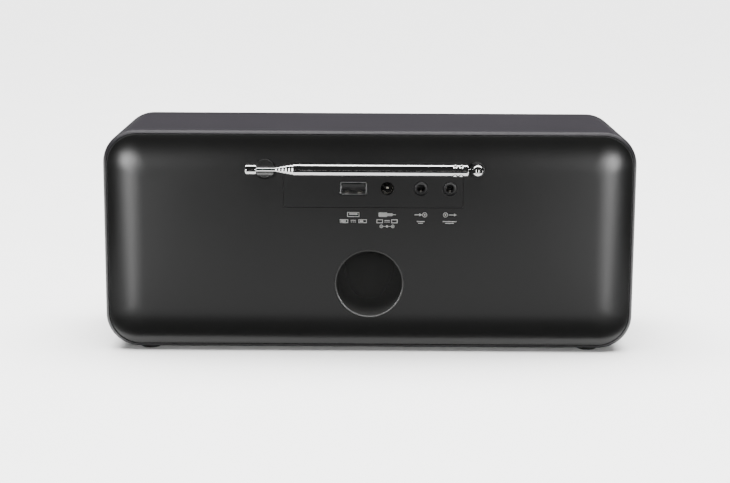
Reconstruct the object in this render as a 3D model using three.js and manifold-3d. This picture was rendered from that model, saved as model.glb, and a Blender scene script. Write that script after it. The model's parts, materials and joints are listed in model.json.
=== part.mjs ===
// Tabletop radio: a satin black cabinet with a pillow-shaped back, a telescopic aerial that folds along the
// back, a recessed connector plate, a bass port, and two speakers, a display and controls behind the front.
// Millimetres, +Z up, +X to the right seen from the front, +Y towards the back.
import * as THREE from "three";
import { mergeVertices } from "three/addons/utils/BufferGeometryUtils.js";
import Module from "manifold-3d";

const wasm = await Module();
wasm.setup();

// ---------------------------------------------------------------- driving dimensions
// Cabinet. Depths are counted forwards from the flat back, so a depth of 4 is the plane y = -4.
const bodyWidth = 270;
const bodyHeight = 112;
const bodyDepth = 86;
const cornerRadius = 17;
const sleeveWall = 3.5;
const roundIn = 21; // how far the back's rounding reaches in from each side
const roundDepth = 7; // how far it falls away from the flat back
const seamDepth = 4; // where the rear cover meets the sleeve
const coverWall = 2.5;
const spigotWall = 2.2;
const spigotEnd = 7.5;
const fitGap = 0.3; // between pieces that fit or rest against each other

// Feet and the screws above them.
const footHeight = 1.8;
const footRadius = 5.2;
const footSeat = 1.1;
const footFromSide = 22;
const footFromBack = 14;
const footFromFront = 12;
const screwHeadRadius = 2.8;
const screwHeadHeight = 2;
const screwRadius = 1.4;
const screwLength = 10;
const bossRise = 3;
const bossRadius = 6;
const bossBlock = 11;

// Front panel and grilles.
const panelInset = 1.5;
const panelThickness = 4;
const grilleWidth = 74;
const grilleHeight = 96;
const grilleRadius = 10;
const grilleThickness = 1;
const speakerFromSide = 43;
const speakerOpening = 31;

// Display.
const lensWidth = 76;
const lensHeight = 50;
const lensThickness = 1.8;
const lensRadius = 4;
const windowMargin = 5;
const displayHeight = 74; // centre of the display above the cabinet's underside
const moduleThickness = 5.2;

// Knobs, encoders and buttons.
const controlHeight = 27;
const knobX = 38;
const knobRadius = 12.5;
const knobLength = 11.6;
const knobStandoff = 1.4;
const shaftRadius = 3;
const encoderSize = 12;
const encoderDepth = 6.5;
const bushingRadius = 3.6;
const rotorRadius = 4.6;
const runningGap = 0.1;
const boardThickness = 1.6;
const controlBoardDepth = 14; // front face of the cabinet's front edge to the control board
const buttonRadius = 3.6;
const buttonPitch = 10;
const buttonProud = 1.2;
const buttonTravel = 0.5;
const pushTravel = 0.6;

// Connector plate and sockets, seen from behind.
const plateX = -1.75;
const plateWidth = 91;
const plateHeight = 20;
const plateThickness = 1.2;
const plateLedge = 1.5;
const socketHeight = 83.5;
const usbX = 8.2;
const usbWidth = 13.2;
const usbHeight = 6.2;
const dcX = -8.85;
const auxX = -25.8;
const lineX = -40.4;
const dcHoleRadius = 3.3;
const jackNoseRadius = 3.2;
const jackBore = 1.8;

// Main board.
const mainBoardWidth = 98;
const mainBoardLength = 56;
const mainBoardDrop = 3.6; // socket centres above the board

// Bass port.
const portHeight = 34.5;
const portRadius = 16.6;
const portWall = 1;
const portBend = 24;
const portFlangeRadius = 23;

// Telescopic aerial. Its own x runs from the ball towards the tip.
const aerialX = -53.9;
const aerialHeight = 93.4;
const aerialStandoff = 4.2;
const ballRadius = 3.3;
const stemRadius = 1.8;
const tabThickness = 1.5;
const pinRadius = 0.55;
const sectionRadii = [3.25, 2.85, 2.5, 2.15, 1.8, 1.4];
const sectionWall = 0.2;
const sectionStart = 4.9;
const sectionLength = 88;
const sectionStep = 1.64; // each mouth stands this far out of the one before it
const plugLength = 8;
const innerStart = 15;
const innerStep = 1.5;
const rodRadius = 1;
const rodShows = 9.6;
const tipRadius = 2.7;
const tipLength = 5.6;
const restRadius = 4.75;
const restPastMouth = 5.4; // from the last section's mouth to the middle of the rest

// ---------------------------------------------------------------- derived places
const floorOfBody = footHeight;
const topOfBody = floorOfBody + bodyHeight;
const midHeight = floorOfBody + bodyHeight / 2;
const panelFront = -(bodyDepth - panelInset);
const panelBack = panelFront + panelThickness;
const controlBoardFront = -(bodyDepth - controlBoardDepth);
const controlZ = floorOfBody + controlHeight;
const displayZ = floorOfBody + displayHeight;
const socketZ = floorOfBody + socketHeight;
const mainBoardTop = socketZ - mainBoardDrop;
const portZ = floorOfBody + portHeight;
const aerialZ = floorOfBody + aerialHeight;
const underside = floorOfBody + sleeveWall + bossRise; // top of the sleeve's screw bosses
const footX = bodyWidth / 2 - footFromSide;
const rearFootDepth = footFromBack;
const frontFootDepth = bodyDepth - footFromFront;
const speakerX = bodyWidth / 2 - speakerFromSide;
const mouthOf = (k) => sectionStart + sectionLength + k * sectionStep;
const lastSection = sectionRadii.length - 1;
const restAlong = mouthOf(lastSection) + restPastMouth;
const knobBack = panelFront - knobStandoff;
const knobFront = knobBack - knobLength;

// ---------------------------------------------------------------- solids
const corner = 6; // steps in a quarter turn of a moulding's outline

// A three.js geometry as a manifold solid.
function solid(geometry) {
  const plain = geometry.clone();
  plain.deleteAttribute("normal");
  plain.deleteAttribute("uv");
  const merged = mergeVertices(plain, 1e-4);
  const mesh = new wasm.Mesh({
    numProp: 3,
    vertProperties: merged.attributes.position.array,
    triVerts: new Uint32Array(merged.index.array),
  });
  return new wasm.Manifold(mesh);
}

// A manifold solid as a three.js geometry.
function geometryOf(shape) {
  const mesh = shape.getMesh();
  const geometry = new THREE.BufferGeometry();
  geometry.setAttribute("position", new THREE.BufferAttribute(mesh.vertProperties, 3));
  geometry.setIndex(new THREE.BufferAttribute(mesh.triVerts, 1));
  return geometry.toNonIndexed();
}

const join = (first, ...rest) => rest.reduce((a, b) => a.add(b), first);
const cut = (first, ...rest) => rest.reduce((a, b) => a.subtract(b), first);

function block(x0, x1, y0, y1, z0, z1) {
  const geometry = new THREE.BoxGeometry(x1 - x0, y1 - y0, z1 - z0);
  return solid(geometry.translate((x0 + x1) / 2, (y0 + y1) / 2, (z0 + z1) / 2));
}

// A round bar along Y from y0 to y1.
function bar(radius, y0, y1, x = 0, z = 0, sides = 20) {
  const geometry = new THREE.CylinderGeometry(radius, radius, y1 - y0, sides);
  return solid(geometry.translate(x, (y0 + y1) / 2, z));
}

// A round bar along Z from z0 to z1.
function post(radius, z0, z1, x = 0, y = 0, sides = 16) {
  const geometry = new THREE.CylinderGeometry(radius, radius, z1 - z0, sides);
  return solid(geometry.rotateX(Math.PI / 2).translate(x, y, (z0 + z1) / 2));
}

// A profile of [radius, height] points turned about Y. It starts and ends on the axis, or closes on itself.
function turned(points, sides = 24) {
  const loop = points.map(([r, y]) => new THREE.Vector2(r, y));
  const onAxis = loop[0].x === 0 && loop[loop.length - 1].x === 0;
  if (!onAxis) loop.push(loop[0].clone());
  if (THREE.ShapeUtils.area(loop) < 0) loop.reverse();
  return solid(new THREE.LatheGeometry(loop, sides));
}

// Turns a shape made about Y so that its axis lies along +X.
const alongX = (shape) => shape.rotate([0, 0, -90]);
// Turns a shape made about Y so that its axis stands along +Z.
const alongZ = (shape) => shape.rotate([90, 0, 0]);

function roundedRect(width, height, radius) {
  const [w, h] = [width / 2, height / 2];
  const shape = new THREE.Shape();
  shape.absarc(w - radius, h - radius, radius, 0, Math.PI / 2);
  shape.absarc(radius - w, h - radius, radius, Math.PI / 2, Math.PI);
  shape.absarc(radius - w, radius - h, radius, Math.PI, 1.5 * Math.PI);
  shape.absarc(w - radius, radius - h, radius, 1.5 * Math.PI, 2 * Math.PI);
  return shape;
}

// A flat plate between two planes of y, centred on x and z.
function plate(shape, yBack, yFront, x = 0, z = 0, curveSegments = corner) {
  const options = { depth: yBack - yFront, bevelEnabled: false, curveSegments };
  const geometry = new THREE.ExtrudeGeometry(shape, options);
  return solid(geometry.rotateX(Math.PI / 2).translate(x, yBack, z));
}

// The cabinet's outline drawn in by inset, at one plane of y. Its corners tighten as it is drawn in.
function cabinetRing(inset, y) {
  const radius = Math.max(cornerRadius * (1 - inset / (1.25 * roundIn)), 1);
  const outline = roundedRect(bodyWidth - 2 * inset, bodyHeight - 2 * inset, radius);
  return outline.getPoints(corner / 2).map((p) => [p.x, y, p.y + midHeight]);
}

// A closed body skinned over rings that run from front to back.
function loft(rings) {
  const count = rings[0].length;
  const positions = rings.flat(2);
  const index = [];
  for (let k = 0; k + 1 < rings.length; k++) {
    for (let i = 0; i < count; i++) {
      const a = k * count + i;
      const b = k * count + ((i + 1) % count);
      index.push(a, a + count, b, b, a + count, b + count);
    }
  }
  const last = (rings.length - 1) * count;
  for (let i = 1; i + 1 < count; i++) {
    index.push(0, i, i + 1, last, last + i + 1, last + i);
  }
  const geometry = new THREE.BufferGeometry();
  geometry.setAttribute("position", new THREE.Float32BufferAttribute(positions, 3));
  geometry.setIndex(index);
  return solid(geometry);
}

// Rings of a quarter ellipse that reaches `reach` in from `inset` and falls `fall` from the depth `top`.
function roundingRings(inset, reach, top, fall, from, to, steps) {
  return Array.from({ length: steps + 1 }, (_, i) => {
    const turn = from + ((to - from) * i) / steps;
    const depth = top + fall * (1 - Math.sin(turn));
    return cabinetRing(inset + reach * (1 - Math.cos(turn)), -depth);
  });
}

// A tube or flat cable along a curve through points.
function swept(shape, points, steps) {
  const extrudePath = new THREE.CatmullRomCurve3(points.map((p) => new THREE.Vector3(...p)));
  return solid(new THREE.ExtrudeGeometry(shape, { extrudePath, steps, curveSegments: 2 }));
}

function circle(radius) {
  return new THREE.Shape().absarc(0, 0, radius, 0, 2 * Math.PI);
}

// ---------------------------------------------------------------- materials
const finish = (color, roughness, metalness = 0) =>
  new THREE.MeshStandardMaterial({ color, roughness, metalness });
const satinBlack = finish(0x303131, 0.42);
const sleeveBlack = finish(0x37353a, 0.48);
const panelBlack = finish(0x1f2021, 0.5);
const glossBlack = finish(0x0d0d0e, 0.12);
const blackPlastic = finish(0x161617, 0.55);
const greyPlastic = finish(0x3c3d3e, 0.5);
const rubber = finish(0x141414, 0.9);
const chrome = finish(0xdcdcda, 0.1, 1);
const steel = finish(0x9a9b9c, 0.35, 1);
const ferrite = finish(0x2a2a2c, 0.7);
const grilleSteel = finish(0x232425, 0.45, 1);
const boardGreen = finish(0x1c4a2c, 0.5);
const conePaper = finish(0x1d1d1e, 0.85);
const cableGrey = finish(0x8a8c8e, 0.6);
const cableRed = finish(0x9c1f1a, 0.5);
const silverTrim = finish(0xb9babb, 0.3, 1);

const radio = new THREE.Group();

function add(name, shape, material, parent = radio) {
  const mesh = new THREE.Mesh(geometryOf(shape), material);
  mesh.name = name;
  parent.add(mesh);
  return mesh;
}

// ---------------------------------------------------------------- cabinet sleeve
const footSpots = [
  ["rear_left", -footX, -rearFootDepth],
  ["rear_right", footX, -rearFootDepth],
  ["front_left", -footX, -frontFootDepth],
  ["front_right", footX, -frontFootDepth],
];
const seamTurn = Math.asin(1 - seamDepth / roundDepth);
const sleeveTurn = Math.asin(1 - (seamDepth + fitGap) / roundDepth);

function makeSleeve() {
  const edge = 1.2; // small rounding of the front edge
  const outside = loft([
    cabinetRing(edge, -bodyDepth),
    cabinetRing(0, -(bodyDepth - edge)),
    ...roundingRings(0, roundIn, 0, roundDepth, 0, sleeveTurn, 3),
  ]);
  const inside = loft([cabinetRing(sleeveWall, -bodyDepth - 1), cabinetRing(sleeveWall, 1)]);
  let sleeve = outside.subtract(inside);
  for (const [, x, y] of footSpots) {
    const boss = post(bossRadius, floorOfBody + sleeveWall / 2, underside, x, y);
    const seat = post(footRadius + fitGap, 0, floorOfBody + footSeat, x, y);
    const headRoom = post(screwHeadRadius + fitGap, 0, underside - bossRise + fitGap, x, y);
    const shankHole = post(screwRadius + fitGap, 0, underside + 1, x, y);
    sleeve = cut(sleeve.add(boss), seat, headRoom, shankHole);
  }
  return sleeve;
}
add("cabinet_sleeve", makeSleeve(), sleeveBlack);

// ---------------------------------------------------------------- rear cover
const spigotInset = sleeveWall + fitGap;
const screwBlockBottom = underside + fitGap;

// A block that a screw from below bites into, joined to whatever stands at its end.
function screwBlock(x, y, yFrom, yTo) {
  const half = bossBlock / 2;
  const body = block(x - half, x + half, yFrom, yTo, screwBlockBottom, screwBlockBottom + bossBlock);
  return body.subtract(post(screwRadius + fitGap, 0, screwBlockBottom + screwLength, x, y));
}

function makeRearCover() {
  const outside = loft([
    cabinetRing(spigotInset, -spigotEnd),
    cabinetRing(spigotInset, -seamDepth),
    ...roundingRings(0, roundIn, 0, roundDepth, seamTurn, Math.PI / 2, 5),
  ]);
  const innerInset = spigotInset + spigotWall;
  const innerReach = roundIn - 4;
  const innerFall = 5;
  const inside = loft([
    cabinetRing(innerInset, -spigotEnd - 1),
    ...roundingRings(innerInset, innerReach, coverWall, innerFall, 0, Math.PI / 2, 5),
  ]);
  const seat = roundedRect(plateWidth, plateHeight, 0.8);
  const throughPlate = roundedRect(plateWidth - 2 * plateLedge, plateHeight - 2 * plateLedge, 0.5);
  const ribTop = mainBoardTop - boardThickness - fitGap;
  const rib = (x) => block(x - 1.5, x + 1.5, -mainBoardLength, -coverWall + 0.5, ribTop - 10, ribTop);
  const restX = aerialX + restAlong;
  const cover = cut(
    outside,
    inside,
    plate(seat, 1, -(plateThickness + fitGap), plateX, socketZ, 2),
    plate(throughPlate, 1, -coverWall - 1, plateX, socketZ, 2),
    bar(portRadius + portWall + fitGap, -coverWall - 3, 1, 0, portZ, 40),
    bar(portFlangeRadius + fitGap, -coverWall - 6, -coverWall, 0, portZ, 28),
    bar(4.2, -0.8, 1, aerialX, aerialZ),
    bar(3.3, -coverWall - 3, 1, aerialX, aerialZ, 16),
    bar(restRadius + fitGap, -1, 1, restX, aerialZ),
    bar(1.8, -coverWall - 3, 1, restX, aerialZ, 12),
  );
  const blocks = footSpots.slice(0, 2).map(([, x, y]) => screwBlock(x, y, y - bossBlock / 2, -3.5));
  return join(cover, rib(-38), rib(38), ...blocks);
}
add("rear_cover", makeRearCover(), satinBlack);

// ---------------------------------------------------------------- front panel, grilles and display lens
const buttonSpots = [-1.5, -0.5, 0.5, 1.5].map((n) => n * buttonPitch);

function makeFrontPanel() {
  const rim = cabinetRing(spigotInset, panelFront);
  const body = loft([rim, cabinetRing(spigotInset, panelBack)]);
  const recess = grilleThickness + fitGap;
  const holes = [];
  for (const side of [-1, 1]) {
    const grille = roundedRect(grilleWidth + 2 * fitGap, grilleHeight + 2 * fitGap, grilleRadius);
    holes.push(plate(grille, panelFront + recess, panelFront - 1, side * speakerX, midHeight, 4));
    holes.push(bar(speakerOpening, panelFront - 1, panelBack + 1, side * speakerX, midHeight, 32));
    holes.push(bar(bushingRadius + fitGap, panelFront - 1, panelBack + 1, side * knobX, controlZ, 16));
  }
  const lens = roundedRect(lensWidth + 2 * fitGap, lensHeight + 2 * fitGap, lensRadius);
  const window = roundedRect(lensWidth - 2 * windowMargin, lensHeight - 2 * windowMargin, 1);
  holes.push(plate(lens, panelFront + lensThickness + fitGap, panelFront - 1, 0, displayZ, 3));
  holes.push(plate(window, panelBack + 1, panelFront - 1, 0, displayZ, 2));
  for (const x of buttonSpots) {
    holes.push(bar(buttonRadius + fitGap, panelFront - 1, panelBack + 1, x, controlZ, 16));
  }
  const blocks = footSpots.slice(2).map(([, x, y]) => screwBlock(x, y, panelBack - 0.5, y + bossBlock / 2));
  return join(cut(body, ...holes), ...blocks);
}
add("front_panel", makeFrontPanel(), panelBlack);

for (const [name, side] of [["left_grille", -1], ["right_grille", 1]]) {
  const outline = roundedRect(grilleWidth, grilleHeight, grilleRadius - fitGap);
  const sheet = plate(outline, panelFront + grilleThickness, panelFront, 0, 0, 4);
  add(name, sheet, grilleSteel).position.set(side * speakerX, 0, midHeight);
}

add(
  "display_lens",
  plate(roundedRect(lensWidth, lensHeight, lensRadius - fitGap), panelFront + lensThickness, panelFront, 0, 0, 3),
  glossBlack,
).position.z = displayZ;
const moduleFront = panelBack + fitGap;
add(
  "display_module",
  block(-35, 35, moduleFront, moduleFront + moduleThickness, displayZ - 23, displayZ + 23),
  greyPlastic,
);

// ---------------------------------------------------------------- control board, encoders, knobs, buttons
const encoderFront = controlBoardFront - fitGap - encoderDepth;
const stemEnd = controlBoardFront - 4.6; // inner end of a button's stem

function makeControlBoard() {
  const board = block(-50, 50, controlBoardFront, controlBoardFront + boardThickness, controlZ - 19, controlZ + 17);
  const switchTop = stemEnd + buttonTravel + runningGap;
  const switches = buttonSpots.map((x) =>
    block(x - 3, x + 3, switchTop, controlBoardFront + 0.5, controlZ - 3, controlZ + 3),
  );
  return join(board, ...switches);
}
add("control_board", makeControlBoard(), boardGreen);

// A rotary encoder's housing about its own axis. One that is pushed as well holds a rotor in a cavity.
function makeEncoder(pushed) {
  const half = encoderSize / 2;
  const housing = block(-half, half, encoderFront, encoderFront + encoderDepth, -half, half);
  const bushing = bar(bushingRadius, panelFront + fitGap, encoderFront + 1, 0, 0, 16);
  const bore = bar(shaftRadius + runningGap, panelFront - 1, encoderFront + encoderDepth - 1.2, 0, 0, 16);
  const body = join(housing, bushing).subtract(bore);
  if (!pushed) return body;
  return body.subtract(bar(rotorRadius + fitGap, rotorFront - fitGap, rotorBack + fitGap));
}
const rotorFront = encoderFront + 1.2;
const rotorBack = rotorFront + 2.4;
const shaftBack = encoderFront + encoderDepth - 1.2 - fitGap;
const knobBoreEnd = knobFront + 3;

function makeKnob() {
  return turned([
    [0, knobFront],
    [knobRadius - 2, knobFront],
    [knobRadius, knobFront + 1.2],
    [knobRadius, knobBack],
    [shaftRadius + runningGap, knobBack],
    [shaftRadius + runningGap, knobBoreEnd],
    [0, knobBoreEnd],
  ], 32);
}

function addControl(name, side, pushed) {
  const group = new THREE.Group();
  group.position.set(side * knobX, 0, controlZ);
  radio.add(group);
  add(`${name}_encoder`, makeEncoder(pushed), steel, group);
  const back = pushed ? shaftBack - pushTravel : shaftBack;
  add(`${name}_shaft`, bar(shaftRadius, knobBoreEnd + fitGap, back, 0, 0, 16), steel, group);
  add(`${name}_knob`, makeKnob(), blackPlastic, group);
  if (pushed) {
    const rotor = bar(rotorRadius, rotorFront, rotorBack);
    const bore = bar(shaftRadius + runningGap, rotorFront - 1, rotorBack + 1, 0, 0, 16);
    add(`${name}_rotor`, rotor.subtract(bore), greyPlastic, group);
  }
}
addControl("volume", -1, false);
addControl("tuning", 1, true);

const flangeFront = panelBack + fitGap;
const button = turned([
  [0, panelFront - buttonProud],
  [buttonRadius - 0.5, panelFront - buttonProud],
  [buttonRadius, panelFront - buttonProud + 0.5],
  [buttonRadius, flangeFront],
  [buttonRadius + 0.9, flangeFront],
  [buttonRadius + 0.9, flangeFront + 1],
  [1.4, flangeFront + 1],
  [1.4, stemEnd],
  [0, stemEnd],
], 16);
["standby", "menu", "preset", "mode"].forEach((name, i) => {
  add(`${name}_button`, button, blackPlastic).position.set(buttonSpots[i], 0, controlZ);
});

// ---------------------------------------------------------------- speakers
// Each speaker's own y runs back from the face of its flange, and its cone faces the front.
const speakerRadius = 36;
const basketInner = 30;
const formerRadius = 9.3;
const magnetRadius = 22.5;
const magnetFront = 20.8;

function makeBasket() {
  const basket = turned([
    [basketInner, 0],
    [basketInner, 1.2],
    [16.5, 19],
    [11.8, 19],
    [11.8, 20.5],
    [18, 20.5],
    [31.8, 1.7],
    [speakerRadius, 1.7],
    [speakerRadius, 0],
  ], 28);
  const windows = [0, 90].map((turn) => block(-40, 40, 5, 15, -8, 8).rotate([0, turn, 0]));
  return cut(basket, ...windows);
}

// The roll that carries the cone, from the cone's edge out to the basket.
function makeSurround() {
  const [outer, inner, middle, steps] = [2.1, 1.5, 27.6, 5];
  const arc = (radius, from, to) =>
    Array.from({ length: steps + 1 }, (_, i) => {
      const turn = from + ((to - from) * i) / steps;
      return [middle + radius * Math.cos(turn), 0.8 - radius * Math.sin(turn)];
    });
  return turned([...arc(outer, 0, Math.PI), ...arc(inner, Math.PI, 0)], 28);
}

// Cone, dust cap and voice-coil former in one moulding.
function makeCone() {
  return turned([
    [0, 7.5],
    [5, 8.4],
    [formerRadius - 0.4, 11.2],
    [25.2, 0.4],
    [25.2, 1.1],
    [formerRadius + 0.9, 12.6],
    [formerRadius + 0.5, 26],
    [formerRadius, 26],
    [formerRadius, 12.8],
    [5, 9.2],
    [0, 8.2],
  ], 24);
}

function makeMagnet() {
  const gapInner = formerRadius - 0.6;
  const gapOuter = formerRadius + 1.2;
  return turned([
    [0, magnetFront],
    [gapInner, magnetFront],
    [gapInner, 30.5],
    [gapOuter, 30.5],
    [gapOuter, magnetFront],
    [magnetRadius, magnetFront],
    [magnetRadius, 35],
    [0, 35],
  ], 24);
}

for (const [name, side] of [["left_speaker", -1], ["right_speaker", 1]]) {
  const group = new THREE.Group();
  group.position.set(side * speakerX, panelBack + fitGap, midHeight);
  radio.add(group);
  add(`${name}_basket`, makeBasket(), steel, group);
  add(`${name}_magnet`, makeMagnet(), ferrite, group);
  add(`${name}_cone`, makeCone(), conePaper, group);
  add(`${name}_surround`, makeSurround(), rubber, group);
}

// ---------------------------------------------------------------- bass port
// A short straight mouth, then a bend that turns the tube upwards inside the cabinet.
function makeBassPort() {
  const straight = 8;
  const elbow = (radius, extra) => {
    const path = new THREE.CurvePath();
    const start = new THREE.Vector3(0, extra, 0);
    const bendStart = new THREE.Vector3(0, -straight, 0);
    path.add(new THREE.LineCurve3(start, bendStart));
    const bend = new THREE.CatmullRomCurve3(
      Array.from({ length: 9 }, (_, i) => {
        const turn = (i / 8) * (Math.PI / 2);
        return new THREE.Vector3(0, -straight - portBend * Math.sin(turn), portBend * (1 - Math.cos(turn)));
      }),
    );
    path.add(bend);
    const top = new THREE.Vector3(0, -straight - portBend, portBend);
    path.add(new THREE.LineCurve3(top, top.clone().setZ(portBend + 6 + extra)));
    return solid(new THREE.ExtrudeGeometry(circle(radius), { extrudePath: path, steps: 12, curveSegments: 14 }));
  };
  const flangeBack = -coverWall - fitGap;
  const flange = bar(portFlangeRadius, flangeBack - 2.5, flangeBack, 0, 0, 28);
  return join(elbow(portRadius + portWall, 0), flange).subtract(elbow(portRadius, 1));
}
add("bass_port", makeBassPort(), glossBlack).position.z = portZ;

// ---------------------------------------------------------------- connector plate, sockets and main board
function makeConnectorPlate() {
  const outline = roundedRect(plateWidth - 2 * fitGap, plateHeight - 2 * fitGap, 0.5);
  const usb = roundedRect(usbWidth + 2 * fitGap, usbHeight + 2 * fitGap, 0.8);
  return cut(
    plate(outline, 0, -plateThickness, plateX, socketZ, 2),
    plate(usb, 1, -plateThickness - 1, usbX, socketZ, 2),
    bar(dcHoleRadius, -plateThickness - 1, 1, dcX, socketZ),
    ...[auxX, lineX].map((x) => bar(jackNoseRadius + fitGap, -plateThickness - 1, 1, x, socketZ)),
  );
}
add("connector_plate", makeConnectorPlate(), satinBlack);

const socketFront = -(plateThickness + fitGap);
const socketFloor = mainBoardTop + fitGap;
const socketTop = socketZ + 5;

function makeUsbSocket() {
  const shell = plate(roundedRect(usbWidth, usbHeight, 0.6), -0.2, -14, 0, 0, 2);
  const cavity = plate(roundedRect(usbWidth - 0.8, usbHeight - 0.8, 0.4), 1, -12, 0, 0, 2);
  const tongue = block(-usbWidth / 2 + 1, usbWidth / 2 - 1, -12.5, -1.5, 0.2, 2);
  return join(cut(shell, cavity), tongue);
}
add("usb_socket", makeUsbSocket(), steel).position.set(usbX, 0, socketZ);

function makePowerJack() {
  const body = block(-4.5, 4.5, -14.5, socketFront, socketFloor - socketZ, socketTop - socketZ);
  const barrel = bar(3.2, -11, 1);
  const pin = bar(1, -11.5, -2.5, 0, 0, 12);
  return join(cut(body, barrel), pin);
}
add("power_jack", makePowerJack(), blackPlastic).position.set(dcX, 0, socketZ);

function makeAudioJack() {
  const body = block(-4, 4, -13.5, socketFront, socketFloor - socketZ, socketTop - socketZ);
  const nose = bar(jackNoseRadius, socketFront - 0.5, 0.2);
  return cut(join(body, nose), bar(jackBore, -12, 1, 0, 0, 16));
}
for (const [name, x] of [["aux_in_jack", auxX], ["line_out_jack", lineX]]) {
  add(name, makeAudioJack(), blackPlastic).position.set(x, 0, socketZ);
}

const mainBoardBack = -coverWall - 0.7;
function makeMainBoard() {
  const half = mainBoardWidth / 2;
  const top = mainBoardTop;
  const board = block(-half, half, mainBoardBack - mainBoardLength, mainBoardBack, top - boardThickness, top);
  const capacitors = [[34, -30], [34, -43]].map(([x, y]) => post(5, top - 0.5, top + 12, x, y, 12));
  const amplifier = block(8, 22, -44, -30, top - 0.5, top + 6);
  return join(board, ...capacitors, amplifier);
}
add("main_board", makeMainBoard(), boardGreen);
const moduleFloor = mainBoardTop + fitGap;
add("tuner_module", block(-38, -12, -44, -20, moduleFloor, moduleFloor + 3.2), silverTrim);

// ---------------------------------------------------------------- telescopic aerial
const aerial = new THREE.Group();
aerial.position.set(aerialX, aerialStandoff, aerialZ);
radio.add(aerial);

// The bushing in the cover that the swivel turns in.
function makeAerialBase() {
  const flange = bar(3.9, -0.5 - aerialStandoff, 0.7 - aerialStandoff);
  const barrel = bar(3, -6 - aerialStandoff, -aerialStandoff, 0, 0, 16);
  return cut(join(flange, barrel), bar(stemRadius + runningGap, -20, 1, 0, 0, 16));
}
add("aerial_base", makeAerialBase(), blackPlastic, aerial);

const tabEnd = 1.9;
const slotFloor = -(tabEnd + fitGap);

// A ball on a riveted stem, slotted from the side and the back so that the lug can tilt out of it.
function makeAerialSwivel() {
  const ball = solid(new THREE.SphereGeometry(ballRadius, 20, 14));
  const stem = bar(stemRadius, -7.6 - aerialStandoff, -ballRadius + 0.6, 0, 0, 16);
  const rivet = bar(3, -7.6 - aerialStandoff, -6.4 - aerialStandoff, 0, 0, 16);
  const slotHalf = tabThickness / 2 + runningGap;
  const slot = block(slotFloor, 5, slotFloor, 5, -slotHalf, slotHalf);
  const pinHole = post(pinRadius + runningGap, -5, 5, 0, 0, 12);
  return cut(join(ball, stem, rivet), slot, pinHole);
}
add("aerial_swivel", makeAerialSwivel(), chrome, aerial);
add("aerial_pin", post(pinRadius, -2.6, 2.6, 0, 0, 10), steel, aerial);

// A flat tab on the pin, a short neck, and a plug held in the outer section by crimps.
function makeAerialLug() {
  const half = tabThickness / 2;
  const eye = post(tabEnd, -half, half, 0, 0, 16);
  const arm = block(0, sectionStart, -tabEnd + 0.3, tabEnd - 0.3, -half, half);
  const neckAndPlug = alongX(turned([
    [0, sectionStart - 1.1],
    [1.1, sectionStart - 1.1],
    [2.4, sectionStart - 0.2],
    [sectionRadii[1], sectionStart + 0.2],
    [sectionRadii[1], sectionStart + plugLength],
    [0, sectionStart + plugLength],
  ], 16));
  return join(eye, arm, neckAndPlug).subtract(post(pinRadius + runningGap, -5, 5, 0, 0, 12));
}
add("aerial_lug", makeAerialLug(), chrome, aerial);

const innerEndOf = (k) => (k === 0 ? sectionStart : innerStart + (k - 1) * innerStep);

sectionRadii.forEach((radius, k) => {
  const inner = radius - sectionWall;
  const tube = alongX(turned([
    [inner, innerEndOf(k)],
    [radius, innerEndOf(k)],
    [radius, mouthOf(k) - 0.3],
    [inner + 0.05, mouthOf(k)],
    [inner, mouthOf(k)],
  ], 16));
  add(`aerial_section_${k + 1}`, tube, chrome, aerial);
});

const tipStart = mouthOf(lastSection) + rodShows;
const rodStart = innerEndOf(lastSection) + innerStep;
const rodEnd = tipStart + tipLength - 2;
add("aerial_rod", alongX(bar(rodRadius, rodStart, rodEnd, 0, 0, 16)), chrome, aerial);
add(
  "aerial_tip",
  alongX(turned([
    [rodRadius + runningGap, tipStart],
    [tipRadius - 0.3, tipStart],
    [tipRadius, tipStart + 0.3],
    [tipRadius, tipStart + tipLength - 0.6],
    [tipRadius - 0.6, tipStart + tipLength],
    [0, tipStart + tipLength],
    [0, rodEnd + runningGap],
    [rodRadius + runningGap, rodEnd + runningGap],
  ], 20)),
  chrome,
  aerial,
);

// A round boss cut into a hook that the folded aerial lies in. The aerial swings up and out of it.
function makeAerialRest() {
  const hookRadius = sectionRadii[1] + 0.25;
  const disc = bar(restRadius, -0.7 - aerialStandoff, 0.9, 0, 0, 24);
  const groove = alongX(bar(hookRadius, -10, 10));
  const aboveGroove = block(-10, 10, 0, 10, -hookRadius, 10);
  const upperSide = block(-10, 10, -hookRadius, 10, 0, 10);
  const peg = bar(1.5, -4.5 - aerialStandoff, -aerialStandoff, 0, 0, 12);
  return join(cut(disc, groove, aboveGroove, upperSide), peg);
}
add("aerial_rest", makeAerialRest(), blackPlastic, aerial).position.x = restAlong;

// ---------------------------------------------------------------- feet and case screws
const foot = alongZ(turned([
  [0, 0],
  [footRadius - 0.5, 0],
  [footRadius, 0.6],
  [footRadius, floorOfBody + footSeat - fitGap],
  [0, floorOfBody + footSeat - fitGap],
], 20));

const screwHeadTop = underside - bossRise;
const recess = 1;
const screw = alongZ(turned([
  [0, screwHeadTop - screwHeadHeight + recess],
  [1, screwHeadTop - screwHeadHeight + recess],
  [1, screwHeadTop - screwHeadHeight],
  [screwHeadRadius, screwHeadTop - screwHeadHeight],
  [screwHeadRadius, screwHeadTop],
  [screwRadius, screwHeadTop],
  [screwRadius, screwHeadTop + screwLength],
  [0, screwHeadTop + screwLength + 1],
], 12));

for (const [place, x, y] of footSpots) {
  add(`${place}_foot`, foot, rubber).position.set(x, y, 0);
  add(`${place}_screw`, screw, steel).position.set(x, y, 0);
}

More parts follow.
